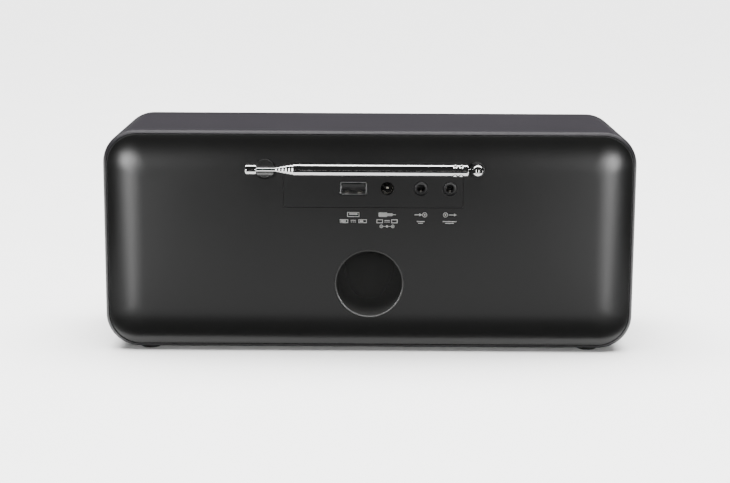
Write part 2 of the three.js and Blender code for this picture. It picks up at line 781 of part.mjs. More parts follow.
// ---------------------------------------------------------------- leads inside the cabinet
const boardRear = controlBoardFront + boardThickness + fitGap;
add(
  "ribbon_cable",
  swept(roundedRect(14, 0.8, 0.2), [
    [24, boardRear, controlZ + 12],
    [24, boardRear + 3, controlZ + 14],
    [24, boardRear + 5, controlZ + 30],
    [24, boardRear + 5, mainBoardTop - 6],
    [24, boardRear + 6, mainBoardTop + 2],
    [24, boardRear + 12, mainBoardTop + 3],
    [24, boardRear + 18, mainBoardTop + 1.2],
  ], 18),
  cableGrey,
);
for (const [name, side] of [["left_speaker_lead", -1], ["right_speaker_lead", 1]]) {
  add(
    name,
    swept(circle(0.9), [
      [side * 68, -62, midHeight + 3],
      [side * 62, -54, midHeight + 8],
      [side * 58, -48, midHeight + 20],
      [side * 52, -44, mainBoardTop + 4],
      [side * 46, -42, mainBoardTop + 1.6],
    ], 14),
    cableRed,
  );
}
add(
  "aerial_lead",
  swept(circle(0.9), [
    [aerialX, -9, aerialZ],
    [aerialX, -14, aerialZ - 1],
    [aerialX + 6, -22, aerialZ - 4],
    [aerialX + 10, -28, mainBoardTop + 4],
    [aerialX + 14, -32, mainBoardTop + 2.4],
  ], 14),
  blackPlastic,
);

// ---------------------------------------------------------------- frame
// The origin is on the floor, midway between the front of the knobs and the back of the folded aerial.
radio.position.y = -(knobFront + aerialStandoff + sectionRadii[0]) / 2;

export default radio;
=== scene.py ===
"""Tabletop radio: the visual model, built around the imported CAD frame."""

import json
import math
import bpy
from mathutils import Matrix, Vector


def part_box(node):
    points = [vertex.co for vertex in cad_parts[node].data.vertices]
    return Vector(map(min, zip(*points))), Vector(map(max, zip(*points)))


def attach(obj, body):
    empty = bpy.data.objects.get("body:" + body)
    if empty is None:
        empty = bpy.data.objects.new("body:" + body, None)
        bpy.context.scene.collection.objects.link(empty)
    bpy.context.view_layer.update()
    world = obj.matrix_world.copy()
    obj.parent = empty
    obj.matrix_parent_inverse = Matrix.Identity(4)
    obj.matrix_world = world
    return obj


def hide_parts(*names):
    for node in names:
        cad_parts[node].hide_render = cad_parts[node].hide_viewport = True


bl_info = {
    "name": "Tabletop Radio",
    "version": (1, 0, 0),
    "blender": (4, 5, 0),
    "location": "View3D > Sidebar > Radio",
    "description": "Builds the visible pieces of a tabletop radio with a telescopic aerial",
    "category": "Object",
}

import bmesh
import bpy
from bpy.props import FloatProperty, FloatVectorProperty, IntProperty, PointerProperty
from mathutils import Matrix, Vector

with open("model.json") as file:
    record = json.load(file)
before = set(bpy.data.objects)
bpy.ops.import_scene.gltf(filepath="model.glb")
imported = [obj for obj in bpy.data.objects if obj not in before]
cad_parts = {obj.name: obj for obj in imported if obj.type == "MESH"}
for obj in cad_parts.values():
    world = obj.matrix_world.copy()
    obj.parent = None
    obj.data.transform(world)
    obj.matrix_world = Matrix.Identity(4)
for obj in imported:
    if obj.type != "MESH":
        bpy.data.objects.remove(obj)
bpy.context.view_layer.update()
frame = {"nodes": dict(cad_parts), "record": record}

MM = 0.001
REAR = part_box("connector_plate")[1].y  # the plane of the flat back
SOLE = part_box("cabinet_sleeve")[0].z  # the cabinet's underside
GAP = 0.3 * MM
PORT_RADIUS = 16.6  # bore of the bass port, in millimetres
CORNERS = ("rear_left", "rear_right", "front_left", "front_right")
BUTTONS = ("standby", "menu", "preset", "mode")
KNOBS = ("volume", "tuning")


# ---------------------------------------------------------------- places taken from the frame
def centre(node):
    low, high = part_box(node)
    return (low + high) / 2


def size(node):
    low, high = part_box(node)
    return high - low


BODY = size("cabinet_sleeve")
BODY_MID = centre("cabinet_sleeve")
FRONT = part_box("cabinet_sleeve")[0].y
PANEL_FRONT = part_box("left_grille")[0].y
BALL = Vector((centre("aerial_swivel").x, centre("aerial_pin").y, centre("aerial_pin").z))
PORT = Vector((centre("bass_port").x, REAR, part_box("bass_port")[0].z + 23 * MM))  # middle of its mouth


# ---------------------------------------------------------------- settings
def colour_setting(name, description, default):
    return FloatVectorProperty(
        name=name, description=description, subtype="COLOR", size=3, min=0, max=1, default=default
    )


def length_setting(name, description, default):
    return FloatProperty(
        name=name, description=description, subtype="DISTANCE", unit="LENGTH", min=0, default=default
    )


def angle_setting(name, description, degrees):
    return FloatProperty(
        name=name, description=description, subtype="ANGLE", unit="ROTATION", default=math.radians(degrees)
    )


def brightness_setting(name, description, default):
    return FloatProperty(name=name, description=description, min=0, default=default)


class RadioFinishSettings(bpy.types.PropertyGroup):
    cover: colour_setting("Cover", "Colour of the rear cover's plastic", (0.0036, 0.0036, 0.0035))
    sleeve: colour_setting("Sleeve", "Colour of the cabinet sleeve's plastic", (0.0098, 0.009, 0.0106))
    front: colour_setting("Front", "Colour of the front panel's plastic", (0.0105, 0.0105, 0.011))
    chrome: colour_setting("Chrome", "Tint of the aerial's plating", (0.86, 0.86, 0.85))
    print: colour_setting("Print", "Colour of the printed symbols", (0.78, 0.78, 0.76))


class RadioCabinetSettings(bpy.types.PropertyGroup):
    corner: length_setting("Corner", "Radius of the cabinet's long corners", 17 * MM)
    round_in: length_setting("Rounding reach", "How far the back's rounding reaches in", 21 * MM)
    round_depth: length_setting("Rounding depth", "How far the back's rounding falls", 7 * MM)
    seam: length_setting("Seam", "Depth of the seam between cover and sleeve", 4 * MM)
    front_edge: length_setting("Front edge", "Rounding of the sleeve's front edge", 1.2 * MM)
    corner_steps: IntProperty(
        name="Corner steps", description="Facets in each rounded corner", min=4, default=20
    )


class RadioGrilleSettings(bpy.types.PropertyGroup):
    pitch: length_setting("Pitch", "Distance between the holes of a row", 3.0 * MM)
    hole: length_setting("Hole", "Diameter of a hole", 2.0 * MM)


class RadioStageSettings(bpy.types.PropertyGroup):
    floor: colour_setting("Floor", "Colour of the floor", (0.55, 0.55, 0.547))
    lens: FloatProperty(name="Lens", description="Camera lens", unit="CAMERA", default=85.4)
    distance: length_setting("Distance", "From the radio's back to the camera", 861 * MM)
    height: length_setting("Height", "Camera above the floor", 221 * MM)
    tilt: angle_setting("Tilt", "How far the camera looks down", 10.71)
    roll: angle_setting("Roll", "How far the camera leans", -0.3)
    overhead: brightness_setting("Overhead", "Strength of the light above", 26.0)
    strip: brightness_setting("Strips", "Brightness of the side strips", 8.6)
    corner: brightness_setting("Corner lights", "Brightness of the strips' heads", 75.0)
    bounce: brightness_setting("Bounce", "Brightness of the card below the aerial", 2.0)
    box: brightness_setting("Softbox", "Brightness of the box that the plating mirrors", 9.0)
    low: brightness_setting("Low fill", "Brightness of the low light behind", 15.0)
    side: brightness_setting("Side card", "Brightness of the card that the tube mouths mirror", 5.0)
    front: brightness_setting("Front fill", "Brightness of the light before the front", 1.3)
    wash: brightness_setting("Wash", "Brightness of the card that the cover mirrors", 1.06)


def settings(group):
    return getattr(bpy.context.scene, group)


# ---------------------------------------------------------------- materials
class Signal:
    """A shader socket that takes part in arithmetic: each operator adds a Math node."""

    def __init__(self, finish, socket):
        self.finish = finish
        self.socket = socket

    def _math(self, operation, *values):
        return self.finish.node(
            "ShaderNodeMath", {"operation": operation}, dict(enumerate(values))
        )

    def __add__(self, other):
        return self._math("ADD", self, other)

    def __sub__(self, other):
        return self._math("SUBTRACT", self, other)

    def __rsub__(self, other):
        return self._math("SUBTRACT", other, self)

    def __mul__(self, other):
        return self._math("MULTIPLY", self, other)

    def __abs__(self):
        return self._math("ABSOLUTE", self)

    def __lt__(self, other):
        return self._math("LESS_THAN", self, other)

    __radd__ = __add__
    __rmul__ = __mul__


class Finish:
    """A material under construction. Lengths in its patterns are metres on the object."""

    def __init__(self, name, **constants):
        self.material = bpy.data.materials.new(name)
        self.material.use_nodes = True
        self.tree = self.material.node_tree
        self.shader = self.tree.nodes["Principled BSDF"]
        for label, value in constants.items():
            self.shader.inputs[label.replace("_", " ").title().replace("Ior", "IOR")].default_value = value

    def node(self, kind, options=None, inputs=None, output=0):
        made = self.tree.nodes.new(kind)
        for label, value in (options or {}).items():
            setattr(made, label, value)
        for label, value in (inputs or {}).items():
            self.feed(made.inputs[label], value)
        return Signal(self, made.outputs[output])

    def feed(self, target, value):
        if isinstance(value, Signal):
            self.tree.links.new(value.socket, target)
        else:
            target.default_value = value

    def drive(self, label, value):
        self.feed(self.shader.inputs[label], value)
        return self

    def position(self, stretch=(1, 1, 1)):
        place = self.node("ShaderNodeTexCoord", output="Object")
        return self.node("ShaderNodeMapping", {}, {"Vector": place, "Scale": stretch})

    def axes(self):
        split = self.node("ShaderNodeSeparateXYZ", {}, {0: self.position()})
        return [Signal(self, out) for out in split.socket.node.outputs]

    def noise(self, grain, detail=2.0, stretch=(1, 1, 1)):
        """Noise from 0 to 1 whose lumps are about `grain` metres across."""
        return self.node(
            "ShaderNodeTexNoise",
            {},
            {"Vector": self.position(stretch), "Scale": 1 / grain, "Detail": detail, "Roughness": 0.55},
        )

    def spread(self, signal, low, high):
        """Maps 0..1 onto low..high."""
        return signal * (high - low) + low

    def tint(self, mask, first, second):
        """First colour where mask is 0, second where it is 1."""
        return self.node(
            "ShaderNodeMix",
            {"data_type": "RGBA"},
            {0: mask, 6: (*first, 1), 7: (*second, 1)},
            output=2,
        )

    def bump(self, height, distance, strength=1.0):
        bumped = self.node(
            "ShaderNodeBump", {}, {"Height": height, "Distance": distance, "Strength": strength}
        )
        return self.drive("Normal", bumped)


def shade(colour, factor):
    return tuple(min(1.0, c * factor) for c in colour)


def moulded_plastic(name, colour, roughness=0.4, grain=0.35 * MM, relief=0.006 * MM):
    """Spark-eroded moulding: a fine even grain, and gloss and colour that drift a little."""
    made = Finish(name)
    drift = made.noise(40 * MM, 3)
    made.drive("Base Color", made.tint(drift, shade(colour, 0.9), shade(colour, 1.1)))
    fine = made.noise(2 * MM, 4)
    made.drive("Roughness", made.spread(drift * 0.5 + fine * 0.5, roughness - 0.04, roughness + 0.04))
    return made.bump(made.noise(grain, 3), relief).material


def glossy_plastic(name, colour, roughness=0.09):
    """Polished moulding with faint wiping marks."""
    made = Finish(name)
    wipes = made.noise(18 * MM, 4, (1, 1, 0.25))
    made.drive("Base Color", made.tint(wipes, colour, shade(colour, 1.3)))
    return made.drive("Roughness", made.spread(wipes, roughness * 0.7, roughness * 1.5)).material


def chrome_plate(name, colour, roughness=0.07):
    """Bright plating over drawn tube: fine lines along the tube and slight hazing."""
    made = Finish(name, metallic=1.0)
    haze = made.noise(9 * MM, 3)
    lines = made.noise(0.25 * MM, 2, (0.03, 1, 1))
    made.drive("Base Color", made.tint(haze, shade(colour, 0.94), colour))
    made.drive("Roughness", made.spread(haze * 0.6 + lines * 0.4, roughness * 0.6, roughness * 1.5))
    return made.bump(lines, 0.0012 * MM).material


def plated_steel(name, colour=(0.55, 0.55, 0.56), roughness=0.32):
    """Zinc-plated pressing: cloudy, with rolling lines."""
    made = Finish(name, metallic=1.0)
    cloud = made.noise(6 * MM, 4)
    rolled = made.noise(0.4 * MM, 2, (1, 0.08, 1))
    made.drive("Base Color", made.tint(cloud, shade(colour, 0.85), shade(colour, 1.1)))
    made.drive("Roughness", made.spread(cloud * 0.5 + rolled * 0.5, roughness - 0.08, roughness + 0.1))
    return made.bump(rolled, 0.004 * MM).material


def painted_metal(name, colour):
    """Powder coat with a slight orange peel."""
    made = Finish(name)
    peel = made.noise(0.9 * MM, 2)
    made.drive("Base Color", made.tint(peel, shade(colour, 0.9), shade(colour, 1.15)))
    made.drive("Roughness", made.spread(made.noise(3 * MM), 0.36, 0.5))
    return made.bump(peel, 0.012 * MM).material


def soft_rubber(name, colour):
    made = Finish(name)
    dust = made.noise(1.5 * MM, 4)
    made.drive("Base Color", made.tint(dust, colour, shade(colour, 1.9)))
    made.drive("Roughness", made.spread(dust, 0.75, 0.92))
    return made.bump(made.noise(0.3 * MM, 3), 0.02 * MM).material


def circuit_board(name):
    """Solder mask over copper: straight tracks show as a lighter green relief."""
    made = Finish(name)
    tracks = made.node(
        "ShaderNodeTexBrick",
        {"offset": 0.37, "squash": 1.7},
        {
            "Vector": made.position(),
            "Scale": 1.0,
            "Mortar Size": 0.00035,
            "Brick Width": 0.0071,
            "Row Height": 0.0023,
            "Color1": (0, 0, 0, 1),
            "Color2": (0, 0, 0, 1),
            "Mortar": (1, 1, 1, 1),
        },
        output="Fac",
    )
    made.drive("Base Color", made.tint(tracks, (0.008, 0.06, 0.02), (0.03, 0.16, 0.06)))
    made.drive("Roughness", made.spread(made.noise(2 * MM), 0.28, 0.42))
    return made.bump(tracks, 0.03 * MM).material


def pressed_paper(name, colour):
    made = Finish(name)
    fibres = made.noise(0.5 * MM, 6)
    made.drive("Base Color", made.tint(fibres, shade(colour, 0.75), shade(colour, 1.5)))
    made.drive("Roughness", made.spread(fibres, 0.78, 0.95))
    return made.bump(fibres, 0.06 * MM).material


def sintered(name, colour):
    made = Finish(name)
    grain = made.noise(0.6 * MM, 6)
    made.drive("Base Color", made.tint(grain, shade(colour, 0.7), shade(colour, 1.4)))
    made.drive("Roughness", made.spread(grain, 0.55, 0.8))
    return made.bump(grain, 0.03 * MM).material


def display_glass(name, window):
    """Black printed border round a smoky window; the window reads a little lighter."""
    made = Finish(name, coat_weight=0.6)
    x, _, z = made.axes()
    inside = (abs(x - window[0]) < window[2]) * (abs(z - window[1]) < window[3])
    made.drive("Base Color", made.tint(inside, (0.003, 0.003, 0.003), (0.009, 0.011, 0.012)))
    smear = made.noise(22 * MM, 3)
    return made.drive("Roughness", made.spread(smear, 0.04, 0.1)).material


def printed_ink(name, colour):
    made = Finish(name)
    speck = made.noise(0.25 * MM, 2)
    made.drive("Base Color", made.tint(speck, shade(colour, 0.86), colour))
    return made.drive("Roughness", made.spread(speck, 0.45, 0.6)).material


def make_finishes():
    """Every finish by the record's slot name, with a few that only show here."""
    look = settings("radio_finish")
    lens = centre("display_lens")
    return {
        "rear_cover": moulded_plastic("satin_black_cover", tuple(look.cover), 0.3, relief=0.0025 * MM),
        "cabinet_sleeve": moulded_plastic("satin_black_sleeve", tuple(look.sleeve), 0.46),
        "front_panel": moulded_plastic("satin_black_front", tuple(look.front), 0.44),
        "grille": painted_metal("black_grille_paint", (0.014, 0.014, 0.015)),
        "lens": display_glass("display_glass", (lens.x, lens.z, 33 * MM, 20 * MM)),
        "black_plastic": moulded_plastic("black_plastic", (0.009, 0.009, 0.0095), 0.5),
        "gloss_black": glossy_plastic("gloss_black", (0.006, 0.006, 0.006)),
        "port_moulding": glossy_plastic("port_moulding", (0.021, 0.021, 0.0205), 0.2),
        "grey_plastic": moulded_plastic("grey_plastic", (0.05, 0.05, 0.052), 0.5),
        "rubber": soft_rubber("black_rubber", (0.008, 0.008, 0.008)),
        "chrome": chrome_plate("aerial_chrome", tuple(look.chrome)),
        "steel": plated_steel("plated_steel"),
        "ferrite": sintered("magnet_ferrite", (0.02, 0.02, 0.022)),
        "board": circuit_board("circuit_board"),
        "cone": pressed_paper("cone_paper", (0.012, 0.012, 0.013)),
        "cable_grey": moulded_plastic("grey_cable", (0.28, 0.29, 0.3), 0.5),
        "cable_red": moulded_plastic("red_wire", (0.35, 0.02, 0.015), 0.4),
        "ink": printed_ink("white_print", tuple(look.print)),
        "bushing": moulded_plastic("jack_bushing", (0.085, 0.085, 0.086), 0.33),
        "contact": plated_steel("spring_contact", (0.82, 0.8, 0.72), 0.2),
    }


finishes = {}


# ---------------------------------------------------------------- building pieces
def place(name, bm, finish, body, *replaced, slot=None, smooth=32, edge=0.0):
    """Turns a bmesh into a piece that rides on a body and may stand for CAD nodes."""
    bmesh.ops.remove_doubles(bm, verts=bm.verts, dist=1e-7)
    bmesh.ops.recalc_face_normals(bm, faces=bm.faces)
    mesh = bpy.data.meshes.new(name)
    bm.to_mesh(mesh)
    bm.free()
    mesh.shade_smooth()
    mesh.set_sharp_from_angle(angle=math.radians(smooth))
    mesh.materials.append(finishes[finish])
    piece = bpy.data.objects.new(name, mesh)
    bpy.context.scene.collection.objects.link(piece)
    if edge:
        round_edges(piece, edge, smooth)
    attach(piece, body)
    if replaced:
        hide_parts(*replaced)
    return piece


def round_edges(piece, width, angle=32):
    """A small live bevel, so that every edge catches the light."""
    bevel = piece.modifiers.new("edges", "BEVEL")
    bevel.width = width
    bevel.segments = 2
    bevel.limit_method = "ANGLE"
    bevel.angle_limit = math.radians(angle)
    bevel.harden_normals = True


def carve(piece, cutters, operation="DIFFERENCE"):
    """Cuts or joins bmesh solids into a piece, ahead of its edge bevel, and keeps the result in its mesh."""
    for bm in cutters:
        bmesh.ops.recalc_face_normals(bm, faces=bm.faces)
        mesh = bpy.data.meshes.new("cutter")
        bm.to_mesh(mesh)
        bm.free()
        tool = bpy.data.objects.new("cutter", mesh)
        bpy.context.scene.collection.objects.link(tool)
        cut = piece.modifiers.new("cut", "BOOLEAN")
        cut.operation, cut.solver, cut.object = operation, "EXACT", tool
        piece.modifiers.move(len(piece.modifiers) - 1, 0)
        others = [m for m in piece.modifiers if m != cut]
        for other in others:
            other.show_viewport = False
        depsgraph = bpy.context.evaluated_depsgraph_get()
        result = bpy.data.meshes.new_from_object(piece.evaluated_get(depsgraph))
        for other in others:
            other.show_viewport = True
        piece.modifiers.remove(cut)
        old = piece.data
        piece.data = result
        bpy.data.meshes.remove(old)
        bpy.data.objects.remove(tool)
    piece.data.shade_smooth()
    piece.data.set_sharp_from_angle(angle=math.radians(32))
    return piece


def moved(bm, offset=(0, 0, 0), turn=0.0, axis="X"):
    bmesh.ops.rotate(bm, verts=bm.verts, cent=(0, 0, 0), matrix=Matrix.Rotation(turn, 3, axis))
    bmesh.ops.translate(bm, verts=bm.verts, vec=Vector(offset))
    return bm


def merged(*parts):
    """Several bmeshes as one."""
    whole = bmesh.new()
    for bm in parts:
        bmesh.ops.recalc_face_normals(bm, faces=bm.faces)
        mesh = bpy.data.meshes.new("part")
        bm.to_mesh(mesh)
        bm.free()
        whole.from_mesh(mesh)
        bpy.data.meshes.remove(mesh)
    return whole


def lathe(profile, steps=48, axis="Y"):
    """A profile of (radius, along) points in millimetres turned about an axis through the origin."""
    bm = bmesh.new()
    verts = [bm.verts.new((r * MM, y * MM, 0)) for r, y in profile]
    edges = [bm.edges.new(pair) for pair in zip(verts, verts[1:])]
    if profile[0][0] > 0 and profile[-1][0] > 0:
        edges.append(bm.edges.new((verts[-1], verts[0])))
    bmesh.ops.spin(
        bm, geom=verts + edges, cent=(0, 0, 0), axis=(0, 1, 0), angle=2 * math.pi, steps=steps, use_merge=True
    )
    bmesh.ops.remove_doubles(bm, verts=bm.verts, dist=1e-7)
    if axis == "X":
        return moved(bm, turn=-math.pi / 2, axis="Z")
    if axis == "Z":
        return moved(bm, turn=math.pi / 2, axis="X")
    return bm


def arc(x, y, radius, start, end, steps=5):
    """Points of an arc in a profile, angles in degrees from the radial direction."""
    return [
        (x + radius * math.cos(math.radians(a)), y + radius * math.sin(math.radians(a)))
        for a in (start + (end - start) * i / steps for i in range(steps + 1))
    ]


def plate(width, height, thickness, radius, steps=6):
    """A rounded plate in the XZ plane, its back face at y = 0, in millimetres."""
    bm = bmesh.new()
    made = bmesh.ops.create_grid(bm, x_segments=1, y_segments=1, size=0.5)
    bmesh.ops.rotate(bm, verts=bm.verts, cent=(0, 0, 0), matrix=Matrix.Rotation(math.pi / 2, 3, "X"))
    bmesh.ops.scale(bm, verts=bm.verts, vec=(width * MM, 1, height * MM))
    if radius:
        bmesh.ops.bevel(
            bm,
            geom=made["verts"],
            offset=radius * MM,
            offset_type="OFFSET",
            segments=steps,
            profile=0.5,
            affect="VERTICES",
            material=-1,
        )
    if thickness:
        raised = bmesh.ops.extrude_face_region(bm, geom=list(bm.faces), use_keep_orig=True)
        verts = [v for v in raised["geom"] if isinstance(v, bmesh.types.BMVert)]
        bmesh.ops.translate(bm, verts=verts, vec=(0, -thickness * MM, 0))
    return bm


def box(x, y, z, at=(0, 0, 0)):
    """A block of x by y by z millimetres centred on a point in millimetres."""
    bm = bmesh.new()
    bmesh.ops.create_cube(bm, size=MM)
    bmesh.ops.scale(bm, verts=bm.verts, vec=(x, y, z))
    return moved(bm, Vector(at) * MM)


def rod(radius, y0, y1, steps=48, axis="Y"):
    return lathe([(0, y0), (radius, y0), (radius, y1), (0, y1)], steps, axis)


# ---------------------------------------------------------------- cabinet
class CabinetSkin:
    """Draws rings of the cabinet's outline, each drawn in by an inset at a depth below the back."""

    def __init__(self):
        self.shape = settings("radio_cabinet")
        self.bm = bmesh.new()
        self.ring = []
        self.inset = 0.0

    def radius(self, inset):
        return max(self.shape.corner * (1 - inset / (1.25 * self.shape.round_in)), MM)

    def start(self, inset, depth):
        """The first ring: a square whose corners are bevelled."""
        radius = self.radius(inset)
        made = bmesh.ops.create_grid(self.bm, x_segments=1, y_segments=1, size=0.5)
        verts = made["verts"]
        bmesh.ops.rotate(self.bm, verts=verts, cent=(0, 0, 0), matrix=Matrix.Rotation(math.pi / 2, 3, "X"))
        bmesh.ops.scale(self.bm, verts=verts, vec=(BODY.x - 2 * inset, 1, BODY.z - 2 * inset))
        bmesh.ops.translate(self.bm, verts=verts, vec=(0, REAR - depth, BODY_MID.z))
        bmesh.ops.bevel(
            self.bm,
            geom=verts,
            offset=radius,
            offset_type="OFFSET",
            segments=self.shape.corner_steps,
            profile=0.5,
            affect="VERTICES",
            material=-1,
        )
        bmesh.ops.delete(self.bm, geom=list(self.bm.faces), context="FACES_ONLY")
        self.ring = list(self.bm.edges)
        self.first = list(self.bm.edges)
        self.inset = inset
        return self

    def to(self, inset, depth):
        """Extrudes the last ring to a new inset and depth, each corner about its own centre."""
        grown = bmesh.ops.extrude_edge_only(self.bm, edges=self.ring)["geom"]
        self.ring = [e for e in grown if isinstance(e, bmesh.types.BMEdge) and all(v in grown for v in e.verts)]
        old, new = self.radius(self.inset), self.radius(inset)
        for vert in (v for v in grown if isinstance(v, bmesh.types.BMVert)):
            for axis, half in ((0, BODY.x / 2), (2, BODY.z / 2)):
                middle = BODY_MID.z if axis == 2 else 0.0
                side = math.copysign(1, vert.co[axis] - middle)
                along = (abs(vert.co[axis] - middle) - (half - self.inset - old)) / old
                vert.co[axis] = middle + side * (half - inset - new + along * new)
            vert.co.y = REAR - depth
        self.inset = inset
        return self

    def rounding(self, inset, reach, top, fall, start, end, steps):
        for i in range(steps + 1):
            turn = start + (end - start) * i / steps
            self.to(inset + reach * (1 - math.cos(turn)), top + fall * (1 - math.sin(turn)))
        return self

    def cap(self, ring=None):
        bmesh.ops.edgeloop_fill(self.bm, edges=ring or self.ring)
        return self

    def seam_turn(self, gap=0.0):
        return math.asin(1 - (self.shape.seam + gap) / self.shape.round_depth)


def make_sleeve():
    skin = CabinetSkin()
    shape = skin.shape
    depth = REAR - FRONT
    edge, wall = shape.front_edge, 3.5 * MM
    skin.start(wall, depth - 0.4 * MM).to(wall - 0.4 * MM, depth).to(edge, depth)
    for i in range(1, 5):
        turn = math.radians(22.5 * i)
        skin.to(edge * (1 - math.sin(turn)), depth - edge * (1 - math.cos(turn)))
    skin.rounding(0, shape.round_in, 0, shape.round_depth, 0, skin.seam_turn(GAP), 6)
    skin.to(skin.inset + 0.35 * MM, shape.seam + GAP + 0.25 * MM)
    skin.to(wall, shape.seam + GAP + 0.25 * MM).to(wall, depth - 0.4 * MM)
    piece = place("cabinet_sleeve_skin", skin.bm, "cabinet_sleeve", "cabinet", "cabinet_sleeve")
    seats = []
    for corner in CORNERS:
        at = centre(f"{corner}_foot")
        seats.append(moved(rod(5.5, -1.0, SOLE / MM + 1.1, axis="Z"), (at.x, at.y, 0)))
    carve(piece, seats)
    piece.modifiers.new("normals", "WEIGHTED_NORMAL").keep_sharp = True


def make_rear_cover():
    skin = CabinetSkin()
    shape = skin.shape
    start = skin.seam_turn()
    edge = shape.round_in * (1 - math.cos(start))
    spigot = 3.8 * MM
    skin.start(spigot, shape.seam).to(edge + 0.3 * MM, shape.seam)
    skin.rounding(0, shape.round_in, 0, shape.round_depth, start + 0.04, math.pi / 2, 22).cap()
    back = skin.first
    skin.inset, skin.ring = spigot, back
    skin.to(spigot, 7.5 * MM).to(6 * MM, 7.5 * MM)
    skin.rounding(6 * MM, shape.round_in - 4 * MM, 2.5 * MM, 5 * MM, 0, math.pi / 2, 8).cap()
    piece = place("rear_cover_shell", skin.bm, "rear_cover", "cabinet", "rear_cover")
    plate_at, plate_size = centre("connector_plate"), size("connector_plate")
    width, height = plate_size.x / MM + 0.3, plate_size.z / MM + 0.3
    hook = centre("aerial_rest")
    cutters = [
        moved(plate(width, height, 2.5, 0.8, 4), (plate_at.x, REAR + MM, plate_at.z)),
        moved(plate(width - 3, height - 3, 8, 0.5, 3), (plate_at.x, REAR + MM, plate_at.z)),
        moved(rod(PORT_RADIUS + 1.03, -6, 1, 96), PORT),
        moved(rod(4.2, -0.8, 1), (BALL.x, REAR, BALL.z)),
        moved(rod(3.3, -5, 1), (BALL.x, REAR, BALL.z)),
        moved(rod(5.05, -1, 1), (hook.x, REAR, BALL.z)),
    ]
    carve(piece, cutters)
    round_edges(piece, 0.18 * MM, 40)


# ---------------------------------------------------------------- connector plate and sockets
def socket_at(node):
    at = centre(node)
    return Vector((at.x, REAR, centre("usb_socket").z))


def make_connector_plate():
    at, area = centre("connector_plate"), size("connector_plate")
    body = moved(plate(area.x / MM, area.z / MM, 1.2, 0.5, 3), (at.x, REAR, at.z))
    piece = place("socket_plate", body, "rear_cover", "cabinet", "connector_plate")
    cutters = [moved(plate(13.8, 6.8, 4, 0.8, 4), socket_at("usb_socket") + Vector((0, MM, 0)))]
    for node in ("power_jack", "aux_in_jack", "line_out_jack"):
        radius = 3.3 if node == "power_jack" else 3.5
        cutters.append(moved(rod(radius, -3, 2, 64), socket_at(node)))
    carve(piece, cutters)
    round_edges(piece, 0.12 * MM, 40)


def make_usb_socket():
    at = socket_at("usb_socket")
    shell = moved(plate(13.2, 6.2, 13.8, 1.0, 6), at - Vector((0, 0.2 * MM, 0)))
    piece = place("usb_shell", shell, "steel", "cabinet", "usb_socket")
    carve(piece, [moved(plate(12.7, 5.7, 12.5, 0.8, 6), at + Vector((0, MM, 0)))])
    round_edges(piece, 0.08 * MM, 40)
    back = moved(box(12.4, 0.6, 5.4), at + Vector((0, -11.1 * MM, 0)))
    tongue = moved(box(11.4, 10.4, 1.9), at + Vector((0, -6.7 * MM, 1.15 * MM)))
    place("usb_tongue", merged(tongue, back), "black_plastic", "cabinet", edge=0.1 * MM)
    strips = [
        moved(box(1.1, 9.0, 0.12), at + Vector((x * MM, -6.9 * MM, 0.15 * MM))) for x in (-3.5, -1, 1, 3.5)
    ]
    springs = []
    for x in (-3.2, 3.2):
        springs.append(moved(box(2.2, 5.0, 0.25), at + Vector((x * MM, -5.2 * MM, -2.35 * MM)), 0))
    place("usb_contacts", merged(*strips, *springs), "contact", "cabinet", slot="steel")


def make_power_jack():
    at = socket_at("power_jack")
    outside = [(3.1, 0.25), (3.1, -1.5), (4.4, -1.5), (4.4, -13), (0, -13)]
    sleeve = lathe(outside + [(0, -11), (2.7, -11), (2.7, 0.0), (2.85, 0.25)], 64)
    place("power_jack_sleeve", moved(sleeve, at), "gloss_black", "cabinet", "power_jack")
    pin = lathe([(0, -11), (0.65, -11), (0.65, -2.9), *arc(0.3, -2.9, 0.35, 0, 90, 4), (0, -2.55)], 32)
    place("power_jack_pin", moved(pin, at), "contact", "cabinet", slot="steel")
    ring = lathe([(2.55, -0.9), (2.68, -0.9), (2.68, -6), (2.55, -6)], 48)
    bmesh.ops.bisect_plane(
        ring,
        geom=list(ring.verts) + list(ring.edges) + list(ring.faces),
        plane_co=(0.6 * MM, 0, 0.6 * MM),
        plane_no=(-1, 0, -1.2),
        clear_inner=True,
    )
    bmesh.ops.holes_fill(ring, edges=ring.edges, sides=8)
    place("power_jack_spring", moved(ring, at), "contact", "cabinet", slot="steel")


def make_audio_jacks():
    for node, name in (("aux_in_jack", "aux_in"), ("line_out_jack", "line_out")):
        at = socket_at(node)
        body = [(0, -13.4), (3.9, -13.4), (3.9, -1.5)]
        nose = [(3.2, -1.5), (3.2, -0.05), *arc(3.0, 0.0, 0.2, 0, 90, 3), (2.15, 0.2)]
        nose += [(1.8, -0.35), (1.8, -12), (0, -12)]
        bushing = moved(lathe(body + nose, 64), at)
        place(f"{name}_bushing", bushing, "bushing", "cabinet", node, slot="black_plastic")
        spring = merged(box(0.9, 3.4, 0.25, (0, -4.5, -1.45)), box(0.25, 3.0, 0.8, (1.4, -6.5, 0)))
        place(f"{name}_spring", moved(spring, at), "contact", "cabinet", slot="steel")


